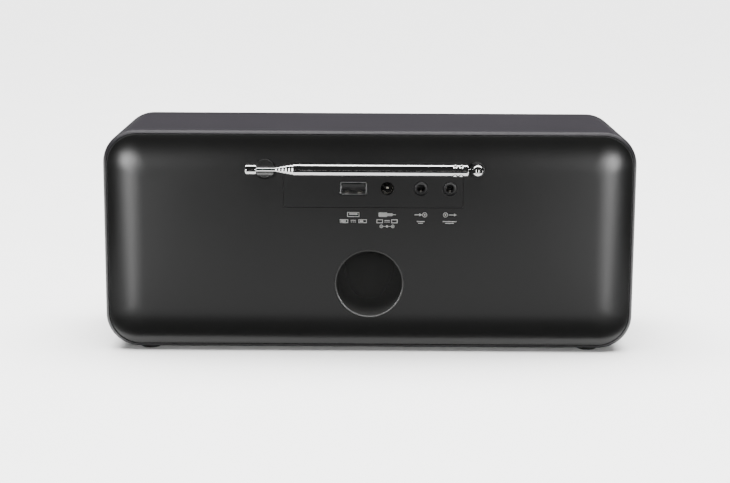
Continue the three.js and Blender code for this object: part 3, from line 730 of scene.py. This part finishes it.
class Signs:
    """Thin printed marks on a plane, placed in millimetres."""

    def __init__(self, plane):
        self.plane = plane
        self.marks = []

    def bar(self, x, z, width, height, turn=0.0):
        mark = plate(width, height, 0.04, min(width, height) * 0.2, 2)
        self.marks.append(moved(moved(mark, turn=turn, axis="Y"), (x * MM, 0, z * MM)))

    def ring(self, x, z, radius, line=0.32):
        inner = radius - line
        mark = lathe([(inner, 0), (radius, 0), (radius, -0.04), (inner, -0.04)], 32)
        self.marks.append(moved(mark, (x * MM, 0, z * MM)))

    def dot(self, x, z, radius, sides=24, turn=0.0):
        mark = moved(lathe([(0, 0), (radius, 0), (radius, -0.04), (0, -0.04)], sides), turn=turn, axis="Y")
        self.marks.append(moved(mark, (x * MM, 0, z * MM)))

    def frame(self, x, z, width, height, line=0.36):
        for side in (-1, 1):
            self.bar(x, z + side * (height - line) / 2, width, line)
            self.bar(x + side * (width - line) / 2, z, line, height)

    def direct_current(self, x, z, width):
        self.bar(x, z + 0.42, width, 0.34)
        for step in (-1, 0, 1):
            self.bar(x + step * width * 0.37, z - 0.42, width * 0.22, 0.34)

    def arrow(self, x, z, length, way):
        """Points towards +X where way is 1."""
        self.bar(x - way * 0.5, z, length - 1.0, 0.42)
        self.dot(x + way * (length / 2 - 0.7), z, 0.95, 3, 0.0 if way > 0 else math.pi)

    def print_on(self, name, slot):
        sheet = moved(merged(*self.marks), (0, self.plane, 0))
        place(name, sheet, "ink", "cabinet", slot=slot)


def make_symbols():
    """Plain printed signs under the sockets: plug shapes, direct current, polarity, arrows in and out."""
    signs = Signs(REAR + 0.04 * MM)
    upper, middle, lower = ((SOLE + height * MM) / MM for height in (70.2, 66.8, 64.2))
    x = socket_at("usb_socket").x / MM
    signs.frame(x, upper, 6.2, 2.5)
    signs.bar(x, upper + 0.25, 4.2, 0.75)
    signs.frame(x + 4.7, middle, 4.2, 1.9, 0.32)
    signs.bar(x + 4.9, middle, 2.4, 0.8)
    signs.direct_current(x, middle, 2.6)
    signs.frame(x - 4.7, middle, 4.2, 1.9, 0.32)
    signs.bar(x - 4.1, middle, 1.8, 0.8)
    x = socket_at("power_jack").x / MM
    signs.bar(x + 2.1, upper, 4.4, 2.3)
    signs.bar(x - 1.4, upper, 2.8, 1.4)
    signs.bar(x - 3.6, upper, 1.8, 0.4)
    signs.frame(x + 3.7, middle, 3.2, 1.9, 0.32)
    signs.direct_current(x, middle, 2.6)
    signs.frame(x - 3.7, middle, 3.2, 1.9, 0.32)
    signs.dot(x, lower, 0.62)
    for side in (-1, 1):
        signs.ring(x + side * 2.9, lower, 0.85, 0.28)
        signs.bar(x + side * 1.35, lower, 1.5, 0.26)
        signs.bar(x + side * 2.9, lower, 0.8, 0.22)
    signs.bar(x - 2.9, lower, 0.22, 0.8)
    x = socket_at("aux_in_jack").x / MM
    signs.ring(x - 2.0, upper, 1.25)
    signs.dot(x - 2.0, upper, 0.45)
    signs.arrow(x + 1.3, upper, 3.6, -1)
    signs.bar(x, middle, 4.0, 0.5)
    signs.bar(x, middle - 0.9, 2.4, 0.4)
    x = socket_at("line_out_jack").x / MM
    signs.ring(x + 2.1, upper, 1.25)
    signs.dot(x + 2.1, upper, 0.45)
    signs.arrow(x - 1.5, upper, 3.8, -1)
    signs.bar(x, middle, 7.0, 0.5)
    signs.bar(x, middle - 0.9, 4.4, 0.4)
    signs.print_on("socket_symbols", "rear_cover")


# ---------------------------------------------------------------- bass port
def make_bass_port():
    inner = PORT_RADIUS
    outer = inner + 1
    lip = [(inner, -8), (inner, -0.55), *arc(inner + 0.45, -0.5, 0.45, 180, 95, 5)]
    lip += [(outer - 0.1, -0.05), (outer, -0.2)]
    flange = [(outer, -2.8), (23, -2.8), (23, -5.3), (outer, -5.3), (outer, -8)]
    mouth = lathe(lip + flange, 128)
    elbow = bmesh.new()
    loop = bmesh.ops.create_circle(elbow, segments=96, radius=inner * MM, cap_ends=False)
    bmesh.ops.rotate(elbow, verts=loop["verts"], cent=(0, 0, 0), matrix=Matrix.Rotation(math.pi / 2, 3, "X"))
    bmesh.ops.translate(elbow, verts=elbow.verts, vec=(0, -8 * MM, 0))
    bend = bmesh.ops.spin(
        elbow, geom=list(elbow.verts) + list(elbow.edges), cent=(0, -8 * MM, 24 * MM), axis=(-1, 0, 0),
        angle=math.pi / 2, steps=28,
    )
    last = [g for g in bend["geom_last"] if isinstance(g, bmesh.types.BMEdge)]
    top = bmesh.ops.extrude_edge_only(elbow, edges=last)["geom"]
    bmesh.ops.translate(elbow, verts=[v for v in top if isinstance(v, bmesh.types.BMVert)], vec=(0, 0, 6 * MM))
    bmesh.ops.recalc_face_normals(elbow, faces=elbow.faces)
    bmesh.ops.solidify(elbow, geom=list(elbow.faces), thickness=-1 * MM)
    tube = moved(merged(mouth, elbow), PORT)
    place("port_tube", tube, "port_moulding", "cabinet", "bass_port", slot="gloss_black", smooth=40)


# ---------------------------------------------------------------- aerial
CRIMPS = (8.4, 11.4)  # distances from the ball at which the outer tube is pinched onto the neck


def crimp(tube, radius):
    """Presses round dents into both walls of the tube, four around it at each crimp."""
    reach, depth = 1.25 * MM, 0.5 * MM
    quarter = math.cos(math.pi / 4) * radius * MM
    for vert in tube.verts:
        across = Vector((0, vert.co.y, vert.co.z)).normalized()
        skin = Vector((vert.co.x, 0, 0)) + across * radius * MM
        for spot in CRIMPS:
            for y, z in ((1, 1), (1, -1), (-1, 1), (-1, -1)):
                away = (skin - Vector((spot * MM, y * quarter, z * quarter))).length / reach
                if away < 1:
                    vert.co -= across * depth * (1 - away * away) ** 2


def make_aerial():
    base = [(1.95, -6), (3, -6), (3, -0.5), (3.9, -0.5), (3.9, -0.35), (2.2, -0.35), (1.95, -0.6)]
    foot = Vector((BALL.x, REAR, BALL.z))
    place("aerial_bushing", moved(lathe(base), foot), "black_plastic", "cabinet", "aerial_base")

    ball = bmesh.new()
    bmesh.ops.create_uvsphere(ball, u_segments=64, v_segments=40, radius=3.3 * MM)
    drop = (BALL.y - REAR) / MM
    stem = [(0, -drop - 7.6), (3, -drop - 7.6), (3, -drop - 6.4), (1.8, -drop - 6.4), (1.8, -2.4), (0, -2.4)]
    piece = place("aerial_ball", moved(ball, BALL), "chrome", "aerial_turret", "aerial_swivel")
    carve(piece, [moved(lathe(stem, 40), BALL)], "UNION")
    slot = box(10, 10, 1.8, (5 - 2.2, 5 - 2.2, 0))
    carve(piece, [moved(slot, BALL), moved(rod(0.66, -5, 5, 24, "Z"), BALL)])
    round_edges(piece, 0.12 * MM, 40)
    pin = lathe([(0, -3.05), (0.55, -2.9), (0.55, 2.9), (0, 3.05)], 24, "Z")
    place("aerial_rivet", moved(pin, BALL), "steel", "aerial_turret", "aerial_pin")

    neck = [(0, 3.6), (0.95, 3.6), (0.95, 4.1), (1.5, 4.7), (2.7, 4.8), (2.85, 5.2)]
    neck += [(2.85, 6.8), (2.3, 7.1), (2.3, 12.9), (0, 12.9)]  # grooved under the crimps
    neck = lathe(neck, 40, "X")
    lug = place("aerial_neck", moved(neck, BALL), "chrome", "aerial_arm", "aerial_lug")
    eye = merged(rod(1.9, -0.75, 0.75, 40, "Z"))
    carve(lug, [moved(eye, BALL), moved(box(4.6, 3.2, 1.5, (2.3, 0, 0)), BALL)], "UNION")
    carve(lug, [moved(rod(0.65, -4, 4, 24, "Z"), BALL)])
    round_edges(lug, 0.1 * MM, 40)

    for k in range(1, 7):
        node = f"aerial_section_{k}"
        low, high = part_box(node)
        start, end = (low.x - BALL.x) / MM, (high.x - BALL.x) / MM
        radius = (high.z - low.z) / 2 / MM
        inner = radius - 0.2
        mouth = size(f"aerial_section_{k + 1}" if k < 6 else "aerial_rod").z / 2 / MM + 0.05
        dents = [spot + 0.2 * i for spot in CRIMPS for i in range(-6, 7)] if k == 1 else []
        profile = [(inner, start), (radius - 0.1, start), (radius, start + 0.15)]
        profile += [(radius, along) for along in dents] + [(radius, end - 0.75)]
        profile += [(mouth + 0.06, end - 0.2), (mouth + 0.02, end - 0.06)]
        profile += [(mouth, end - 0.1), (inner, end - 1.2)]
        profile += [(inner, along) for along in reversed(dents)]
        body = "aerial_arm" if k == 1 else f"aerial_stage_{k}"
        tube = lathe(profile, 64, "X")
        if k == 1:
            crimp(tube, radius)
        place(f"aerial_tube_{k}", moved(tube, BALL), "chrome", body, node, smooth=20)

    mast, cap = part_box("aerial_rod"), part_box("aerial_tip")
    start, end = (mast[0].x - BALL.x) / MM, (cap[0].x - BALL.x) / MM
    length = size("aerial_tip").x / MM
    inmost = moved(rod(1, start, end + 3.6, 32, "X"), BALL)
    place("aerial_mast_rod", inmost, "chrome", "aerial_mast", "aerial_rod")
    tip = [(1.15, end + 0.1), (1.3, end), (2.45, end), *arc(2.45, end + 0.25, 0.25, -90, 0, 3)]
    tip += [(2.7, end + length - 0.9), *arc(1.9, end + length - 0.8, 0.8, 0, 90, 6)]
    tip += [(0, end + length), (0, end + 3.7), (1.15, end + 3.7)]
    place("aerial_end_cap", moved(lathe(tip, 56, "X"), BALL), "chrome", "aerial_mast", "aerial_tip", smooth=50)


def make_aerial_hook():
    at = Vector((centre("aerial_rest").x, BALL.y, BALL.z))
    drop = (BALL.y - REAR) / MM
    rim = [(4.75, 0.3), *arc(4.15, 0.3, 0.6, 0, 90, 6), (3.75, 0.9), (3.45, 0.55), (0, 0.45)]
    disc = lathe([(0, -drop - 0.7), (4.75, -drop - 0.7), *rim], 64)
    piece = place("aerial_hook", moved(disc, at), "port_moulding", "cabinet", "aerial_rest", slot="gloss_black")
    carve(piece, [
        moved(rod(3.1, -8, 8, 48, "X"), at),
        moved(box(20, 10, 13.1, (0, 5, 3.45)), at),
        moved(box(20, 13.1, 10, (0, 3.45, 5)), at),
    ])
    round_edges(piece, 0.25 * MM, 40)


# ---------------------------------------------------------------- front
def make_front_panel():
    rim, depth = 3.8 * MM, REAR - PANEL_FRONT
    skin = CabinetSkin().start(rim, depth - 4 * MM).to(rim, depth - 0.5 * MM).to(rim + 0.5 * MM, depth).cap()
    skin.cap(skin.first)
    piece = place("front_fascia", skin.bm, "front_panel", "cabinet", "front_panel")
    cutters = []
    for node in ("left_grille", "right_grille"):
        at = centre(node)
        cutters.append(moved(plate(74.6, 96.6, 2.3, 10, 10), (at.x, PANEL_FRONT + 1.3 * MM, at.z)))
        cutters.append(moved(rod(31, -1, 6, 96), (at.x, PANEL_FRONT, at.z)))
    lens = centre("display_lens")
    cutters.append(moved(plate(76.6, 50.6, 3.1, 4, 6), (lens.x, PANEL_FRONT + 2.1 * MM, lens.z)))
    cutters.append(moved(plate(66, 40, 8, 1, 4), (lens.x, PANEL_FRONT + 6 * MM, lens.z)))
    for node in [f"{name}_knob" for name in KNOBS] + [f"{name}_button" for name in BUTTONS]:
        at = centre(node)
        cutters.append(moved(rod(3.9, -1, 6), (at.x, PANEL_FRONT, at.z)))
    carve(piece, cutters)
    round_edges(piece, 0.2 * MM, 40)


def make_grilles():
    look = settings("radio_grille")
    pitch, hole = look.pitch / MM, look.hole / MM
    row = pitch * math.sqrt(3) / 2
    columns, rows = int(66 / pitch), int(88 / (2 * row))
    for side in ("left", "right"):
        at = centre(f"{side}_grille")
        frame_plate = moved(plate(74, 96, 1.0, 9.7, 10), (at.x, PANEL_FRONT + MM, at.z))
        rim = place(f"{side}_grille_rim", frame_plate, "grille", "cabinet", f"{side}_grille")
        carve(rim, [moved(plate(66, 88, 4, 6, 8), (at.x, PANEL_FRONT + 2 * MM, at.z))])
        round_edges(rim, 0.3 * MM, 40)
        cell = bmesh.new()
        for dx, dz in ((0, 0), (0.5 * pitch, row)):
            outer = bmesh.ops.create_circle(cell, segments=12, radius=pitch / math.sqrt(3) * MM)["verts"]
            for vert in outer:
                corner = round(math.degrees(math.atan2(vert.co.x, vert.co.y)) / 30) % 2 == 0
                vert.co *= 1 if corner else math.cos(math.pi / 6)
            border = list({e for v in outer for e in v.link_edges})
            inner = bmesh.ops.create_circle(cell, segments=12, radius=hole / 2 * MM)["verts"]
            inside = list({e for v in inner for e in v.link_edges})
            bmesh.ops.bridge_loops(cell, edges=border + inside)
            bmesh.ops.translate(cell, verts=outer + inner, vec=(dx * MM, dz * MM, 0))
        moved(cell, turn=math.pi / 2, axis="X")
        left = at.x - (columns - 0.5) * pitch * MM / 2
        moved(cell, (left, PANEL_FRONT + 0.35 * MM, at.z - (2 * rows - 1) * row * MM / 2))
        sheet = place(f"{side}_grille_mesh", cell, "grille", "cabinet")
        for count, offset in ((columns, (pitch * MM, 0, 0)), (rows, (0, 0, 2 * row * MM))):
            repeat = sheet.modifiers.new("repeat", "ARRAY")
            repeat.use_relative_offset = False
            repeat.use_constant_offset = True
            repeat.constant_offset_displace = offset
            repeat.count = count
            repeat.use_merge_vertices = True
            repeat.merge_threshold = 0.02 * MM
        thick = sheet.modifiers.new("gauge", "SOLIDIFY")
        thick.thickness = 0.6 * MM
        thick.offset = -1


def make_display_lens():
    at = centre("display_lens")
    lens = moved(plate(76, 50, 1.8, 3.7, 8), (at.x, PANEL_FRONT + 1.8 * MM, at.z))
    place("display_window", lens, "lens", "cabinet", "display_lens", edge=0.35 * MM)


def make_controls():
    for name, body in (("volume", "volume_control"), ("tuning", "tuning_control")):
        at = centre(f"{name}_knob")
        back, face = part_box(f"{name}_knob")[1].y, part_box(f"{name}_knob")[0].y
        length = (back - face) / MM
        profile = [(3.1, 0), (11.6, 0), (12.2, -0.4), (12.2, -length + 1.4)]
        profile += arc(11.0, -length + 1.2, 1.2, 0, -90, 6)
        profile += [(10.2, -length), (9.9, -length + 0.35), (0, -length + 0.5)]
        profile += [(0, -length + 3), (3.1, -length + 3)]
        turned = moved(lathe(profile, 96), (at.x, back, at.z))
        place(f"{name}_knob_body", turned, "black_plastic", body, f"{name}_knob", smooth=35)
        ribs = []
        for i in range(60):
            turn = math.radians(6 * i)
            rib = box(0.5, length - 3.4, 0.55, (0, -length / 2, 0))
            along = [e for e in rib.edges if abs((e.verts[0].co - e.verts[1].co).y) > MM]
            bmesh.ops.bevel(
                rib, geom=along, offset=0.14 * MM, segments=1, profile=0.5, affect="EDGES", material=-1
            )
            moved(rib, (12.2 * MM, 0, 0))
            ribs.append(moved(rib, turn=turn, axis="Y"))
        place(f"{name}_knob_ribs", moved(merged(*ribs), (at.x, back, at.z)), "black_plastic", body)
        inlay = lathe([(0, 0.15), (9.6, 0.15), *arc(9.5, 0.0, 0.15, 90, -80, 3), (9.3, -0.2), (0, -0.1)], 96)
        place(f"{name}_knob_inlay", moved(inlay, (at.x, face + 0.42 * MM, at.z)), "steel", body)
        if name == "volume":
            line = moved(plate(0.7, 4.2, 0.08, 0.3, 3), (at.x, face + 0.3 * MM, at.z + 6.6 * MM))
            place("volume_knob_line", line, "ink", body, slot="black_plastic")
    for name in BUTTONS:
        low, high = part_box(f"{name}_button")
        at = centre(f"{name}_button")
        length = (high.y - low.y) / MM
        profile = [(0, 0), (1.4, 0), (1.4, -length + 6.3), (4.5, -length + 6.3), (4.5, -length + 5.3)]
        profile += [(3.6, -length + 5.3), (3.6, -length + 0.5), *arc(3.1, -length + 0.5, 0.5, 0, -90, 4)]
        profile += [(2.4, -length), (0, -length + 0.25)]
        turned = moved(lathe(profile, 40), (at.x, high.y, at.z))
        place(f"{name}_button_cap", turned, "black_plastic", f"{name}_key", f"{name}_button")


def make_front_symbols():
    """Printed signs above the buttons and a plain scale round the volume knob."""
    signs = Signs(PANEL_FRONT)
    volume = centre("volume_knob") / MM
    for i in range(11):
        turn = math.radians(-135 + 27 * i)
        x, z = volume.x + 15.2 * math.sin(turn), volume.z + 15.2 * math.cos(turn)
        signs.bar(x, z, 0.35, 1.0 + 0.12 * i, turn)
    above = centre("menu_button").z / MM + 7.4
    x = centre("standby_button").x / MM
    signs.ring(x, above, 1.35, 0.3)
    signs.bar(x, above + 1.1, 0.35, 1.5)
    x = centre("menu_button").x / MM
    for dz in (-0.9, 0, 0.9):
        signs.bar(x, above + dz, 2.6, 0.34)
    x = centre("preset_button").x / MM
    for dx in (-1, 0, 1):
        signs.bar(x + dx, above + 0.45 * dx, 0.5, 1.1 + 0.9 * (dx + 1))
    x = centre("mode_button").x / MM
    for side in (-1, 1):
        signs.bar(x + side * 0.9, above, 0.34, 2.4, -side * 0.6)
    signs.print_on("front_symbols", "front_panel")


def make_feet():
    for corner in CORNERS:
        at = centre(f"{corner}_foot")
        profile = [(0, 0.25), (2.6, 0.25), (3.0, 0), (4.5, 0), *arc(4.5, 0.7, 0.7, -90, 0, 5)]
        pad = moved(lathe(profile + [(5.2, 2.6), (0, 2.6)], 48, "Z"), (at.x, at.y, 0))
        place(f"{corner}_pad", pad, "rubber", "cabinet", f"{corner}_foot")


def finish_frame_nodes():
    """Gives each CAD node that still shows its own procedural finish."""
    slots = {row["node"]: row["material_slot"] for row in frame["record"]["subparts"]}
    for name, node in frame["nodes"].items():
        if node.hide_render:
            continue
        node.data.materials.clear()
        node.data.materials.append(finishes[slots[name]])


# ---------------------------------------------------------------- stage
def floor_finish():
    """A plain pale floor with a soft sheen."""
    made = Finish("pale_floor")
    cloud = made.noise(60 * MM, 2)
    tone = tuple(settings("radio_stage").floor)
    made.drive("Base Color", made.tint(cloud, shade(tone, 0.985), tone))
    return made.drive("Roughness", made.spread(cloud, 0.45, 0.55)).material


def one_sided_glow(name, brightness):
    """Shines or blocks on its upper side only, and is clear from below."""
    made = Finish(name)
    clear = made.node("ShaderNodeBsdfTransparent")
    glow = made.node("ShaderNodeEmission", {}, {"Strength": brightness})
    under = made.node("ShaderNodeNewGeometry", output="Backfacing")
    mixed = made.node("ShaderNodeMixShader", {}, {0: under, 1: glow, 2: clear})
    made.tree.links.new(mixed.socket, made.tree.nodes["Material Output"].inputs[0])
    return made.material


def only_mirrored(thing):
    """Leaves a light or a flag to reflections alone."""
    thing.visible_camera = thing.visible_diffuse = thing.visible_shadow = thing.visible_transmission = False


def shines_on(lamp, pieces):
    """Links a light to these pieces alone."""
    group = bpy.data.collections.new(f"{lamp.name}_pieces")
    for piece in pieces:
        group.objects.link(piece)
    lamp.light_linking.receiver_collection = group


def panel_light(name, brightness, width, start, end, facing):
    """A rectangle of light that runs from start to end, in metres, and faces a point."""
    start, end = Vector(start), Vector(end)
    long, middle = end - start, (start + end) / 2
    data = bpy.data.lights.new(name, "AREA")
    data.shape, data.size, data.size_y = "RECTANGLE", width, long.length
    data.energy = brightness * math.pi * width * long.length
    lamp = bpy.data.objects.new(name, data)
    bpy.context.scene.collection.objects.link(lamp)
    up = long.normalized()
    back = (middle - Vector(facing)).cross(up).cross(up).normalized() * -1
    lamp.matrix_world = Matrix.Translation(middle) @ Matrix((up.cross(back), up, back)).transposed().to_4x4()
    lamp.visible_camera = False
    return lamp


def tapered_strip(name, brightness, side, near, far, heights, azimuth, spread):
    """A glowing strip seen from one end of the radio's back between two distances, as wide as its spread."""
    origin = Vector((side * 0.12, REAR, 0))
    bm = bmesh.new()
    corners = []
    for distance, height in zip((near, far), heights):
        for edge in (-1, 1):
            turn = math.radians(azimuth + edge * spread / 2)
            away = Vector((side * math.sin(turn), math.cos(turn), 0)) * distance
            corners.append(bm.verts.new(origin + away + Vector((0, 0, height))))
    face = bmesh.ops.contextual_create(bm, geom=corners)["faces"][0]
    face.normal_update()
    if face.normal.z < 0:
        face.normal_flip()
    only_mirrored(stage_sheet(name, bm, one_sided_glow(name, brightness)))


def stage_sheet(name, bm, finish):
    mesh = bpy.data.meshes.new(name)
    bm.to_mesh(mesh)
    bm.free()
    mesh.materials.append(finish)
    sheet = bpy.data.objects.new(name, mesh)
    bpy.context.scene.collection.objects.link(sheet)
    return sheet


def make_world():
    world = bpy.data.worlds.new("studio")
    bpy.context.scene.world = world
    world.use_nodes = True
    tree = world.node_tree
    shown = tree.nodes["Background"]
    shown.inputs["Color"].default_value = (3.2, 3.2, 3.2, 1)
    dim = tree.nodes.new("ShaderNodeBackground")
    dim.inputs["Color"].default_value = (0.022, 0.022, 0.022, 1)
    path = tree.nodes.new("ShaderNodeLightPath")
    mix = tree.nodes.new("ShaderNodeMixShader")
    tree.links.new(path.outputs["Is Camera Ray"], mix.inputs[0])
    tree.links.new(dim.outputs[0], mix.inputs[1])
    tree.links.new(shown.outputs[0], mix.inputs[2])
    tree.links.new(mix.outputs[0], tree.nodes["World Output"].inputs[0])


FLAGS = (  # name, nearest and farthest distance behind the radio in metres, and glow
    ("flag_near", 0.003, 0.04, 0.22),
    ("flag", 0.04, 5.0, 0.02),
)
SOCKET_SHARE = 0.13  # of the low fill's brightness, for the sockets and the hook


def make_stage():
    look = settings("radio_stage")
    ground = bmesh.new()
    bmesh.ops.create_circle(ground, cap_ends=True, segments=96, radius=8)
    stage_sheet("floor", ground, floor_finish()).visible_diffuse = False
    for name, near, far, glow in FLAGS:
        flag = bmesh.new()
        bmesh.ops.create_grid(flag, x_segments=1, y_segments=1, size=0.5)
        bmesh.ops.scale(flag, verts=flag.verts, vec=(5, far - near, 1))
        bmesh.ops.translate(flag, verts=flag.verts, vec=(0, REAR + (near + far) / 2, 0.0015))
        only_mirrored(stage_sheet(name, flag, one_sided_glow(f"{name}_glow", glow)))
    make_world()

    sun = bpy.data.lights.new("overhead", "SUN")
    sun.energy, sun.angle = look.overhead, math.radians(70)
    lamp = bpy.data.objects.new("overhead", sun)
    bpy.context.scene.collection.objects.link(lamp)
    lamp.rotation_euler = (math.radians(4), 0, 0)
    lamp.visible_glossy = False

    middle = (0, 0, 0.06)
    for side, name in ((-1, "left"), (1, "right")):
        tapered_strip(f"strip_{name}", look.strip, side, 0.08, 1.1, (0.003, 0.10), 21, 8)
        tapered_strip(f"head_{name}", look.corner, side, 1.1, 1.4, (0.10, 0.26), 23, 9)
    panel_light("softbox", look.box, 0.34, (-1.5, -0.12, 1.2), (1.5, -0.12, 1.2), middle)
    low, above = REAR + 0.065, (0, REAR + 0.065, 1)
    bounce = panel_light("bounce", look.bounce, 0.12, (-0.5, low, 0.004), (0.5, low, 0.004), above)
    low, above = REAR + 0.22, (0, REAR + 0.22, 1)
    wash = panel_light("wash", look.wash, 0.36, (-0.3, low, 0.003), (0.3, low, 0.003), above)
    shines_on(wash, [bpy.data.objects[name] for name in ("rear_cover_shell", "socket_plate")])
    fill = panel_light("front_fill", look.front, 0.7, (-0.7, -1.5, 1.1), (0.9, -1.5, 1.1), middle)
    shell = ("cabinet_sleeve_skin", "rear_cover_shell", "socket_plate", "floor", *(flag[0] for flag in FLAGS))
    inner = [o for o in bpy.data.objects if o.type == "MESH" and o.name not in shell]
    moulded = ("aerial_hook", "aerial_bushing")
    plated = [o for o in inner if o.name.startswith("aerial_") and o.name not in moulded]
    shines_on(bounce, plated)
    start, end = (0.35, REAR + 0.21, 0.004), (0.35, REAR + 0.21, 0.32)
    side_card = panel_light("side_card", look.side, 0.34, start, end, (0.042, REAR, 0.095))
    shines_on(side_card, [o for o in plated if o.name.startswith("aerial_tube")])
    start, end = (-1.2, REAR + 1.0, 0.2), (1.2, REAR + 1.0, 0.2)
    low_fill = panel_light("low_fill", look.low, 0.3, start, end, (0, REAR, 0.05))
    shines_on(low_fill, [bpy.data.objects[name] for name in ("port_tube", "floor")])
    start, end = (-0.6, REAR + 1.0, 0.3), (0.6, REAR + 1.0, 0.3)
    socket_fill = panel_light("socket_fill", look.low * SOCKET_SHARE, 0.2, start, end, (0, REAR, 0.08))
    recessed = ("usb_", "power_jack", "aux_in", "line_out", "aerial_hook")
    shines_on(socket_fill, [o for o in inner if o.name.startswith(recessed)])
    shines_on(fill, inner)

    camera = bpy.data.cameras.new("camera")
    camera.lens, camera.sensor_width = look.lens, 36
    camera.clip_start, camera.clip_end = 0.05, 50
    eye = bpy.data.objects.new("camera", camera)
    bpy.context.scene.collection.objects.link(eye)
    eye.location = (MM, REAR + look.distance, look.height)
    forward = Vector((0.0014, -math.cos(look.tilt), -math.sin(look.tilt)))
    eye.rotation_mode = "QUATERNION"
    roll = Matrix.Rotation(look.roll, 3, forward.normalized()).to_quaternion()
    eye.rotation_quaternion = roll @ forward.to_track_quat("-Z", "Y")
    bpy.context.scene.camera = eye


# ---------------------------------------------------------------- operators
class RADIO_OT_finishes(bpy.types.Operator):
    """Make the materials"""

    bl_idname = "radio.finishes"
    bl_label = "Finishes"

    def execute(self, context):
        finishes.update(make_finishes())
        return {"FINISHED"}


class RADIO_OT_cabinet(bpy.types.Operator):
    """Build the sleeve, the rear cover and the feet"""

    bl_idname = "radio.cabinet"
    bl_label = "Cabinet"

    def execute(self, context):
        make_sleeve()
        make_rear_cover()
        make_feet()
        return {"FINISHED"}


class RADIO_OT_sockets(bpy.types.Operator):
    """Build the connector plate, its sockets and the printed symbols"""

    bl_idname = "radio.sockets"
    bl_label = "Sockets"

    def execute(self, context):
        make_connector_plate()
        make_usb_socket()
        make_power_jack()
        make_audio_jacks()
        make_symbols()
        return {"FINISHED"}


class RADIO_OT_bass_port(bpy.types.Operator):
    """Build the bass port"""

    bl_idname = "radio.bass_port"
    bl_label = "Bass port"

    def execute(self, context):
        make_bass_port()
        return {"FINISHED"}


class RADIO_OT_aerial(bpy.types.Operator):
    """Build the telescopic aerial and its hook"""

    bl_idname = "radio.aerial"
    bl_label = "Aerial"

    def execute(self, context):
        make_aerial()
        make_aerial_hook()
        return {"FINISHED"}


class RADIO_OT_front(bpy.types.Operator):
    """Build the fascia, grilles, display window, knobs and buttons"""

    bl_idname = "radio.front"
    bl_label = "Front"

    def execute(self, context):
        make_front_panel()
        make_grilles()
        make_display_lens()
        make_controls()
        make_front_symbols()
        return {"FINISHED"}


class RADIO_OT_frame_nodes(bpy.types.Operator):
    """Give the inner parts their finishes"""

    bl_idname = "radio.frame_nodes"
    bl_label = "Inner parts"

    def execute(self, context):
        finish_frame_nodes()
        return {"FINISHED"}


class RADIO_OT_stage(bpy.types.Operator):
    """Set up the floor, the lights and the camera"""

    bl_idname = "radio.stage"
    bl_label = "Stage"

    def execute(self, context):
        make_stage()
        return {"FINISHED"}


class RADIO_PT_panel(bpy.types.Panel):
    """Sidebar panel with the settings and the steps in order"""

    bl_label = "Tabletop Radio"
    bl_idname = "RADIO_PT_panel"
    bl_space_type = "VIEW_3D"
    bl_region_type = "UI"
    bl_category = "Radio"

    def draw(self, context):
        for group in GROUPS:
            box_layout = self.layout.box()
            values = getattr(context.scene, group)
            for label in values.__annotations__:
                box_layout.prop(values, label)
        for operator in OPERATORS:
            self.layout.operator(operator.bl_idname)


GROUPS = {
    "radio_finish": RadioFinishSettings,
    "radio_cabinet": RadioCabinetSettings,
    "radio_grille": RadioGrilleSettings,
    "radio_stage": RadioStageSettings,
}
OPERATORS = (
    RADIO_OT_finishes,
    RADIO_OT_cabinet,
    RADIO_OT_sockets,
    RADIO_OT_bass_port,
    RADIO_OT_aerial,
    RADIO_OT_front,
    RADIO_OT_frame_nodes,
    RADIO_OT_stage,
)


def register():
    for made in (*GROUPS.values(), *OPERATORS, RADIO_PT_panel):
        bpy.utils.register_class(made)
    for name, group in GROUPS.items():
        setattr(bpy.types.Scene, name, PointerProperty(type=group))


def unregister():
    for name in GROUPS:
        delattr(bpy.types.Scene, name)
    for made in reversed((*GROUPS.values(), *OPERATORS, RADIO_PT_panel)):
        bpy.utils.unregister_class(made)


def main():
    register()
    for operator in OPERATORS:
        group, name = operator.bl_idname.split(".")
        getattr(getattr(bpy.ops, group), name)()


if __name__ == "__main__":
    main()
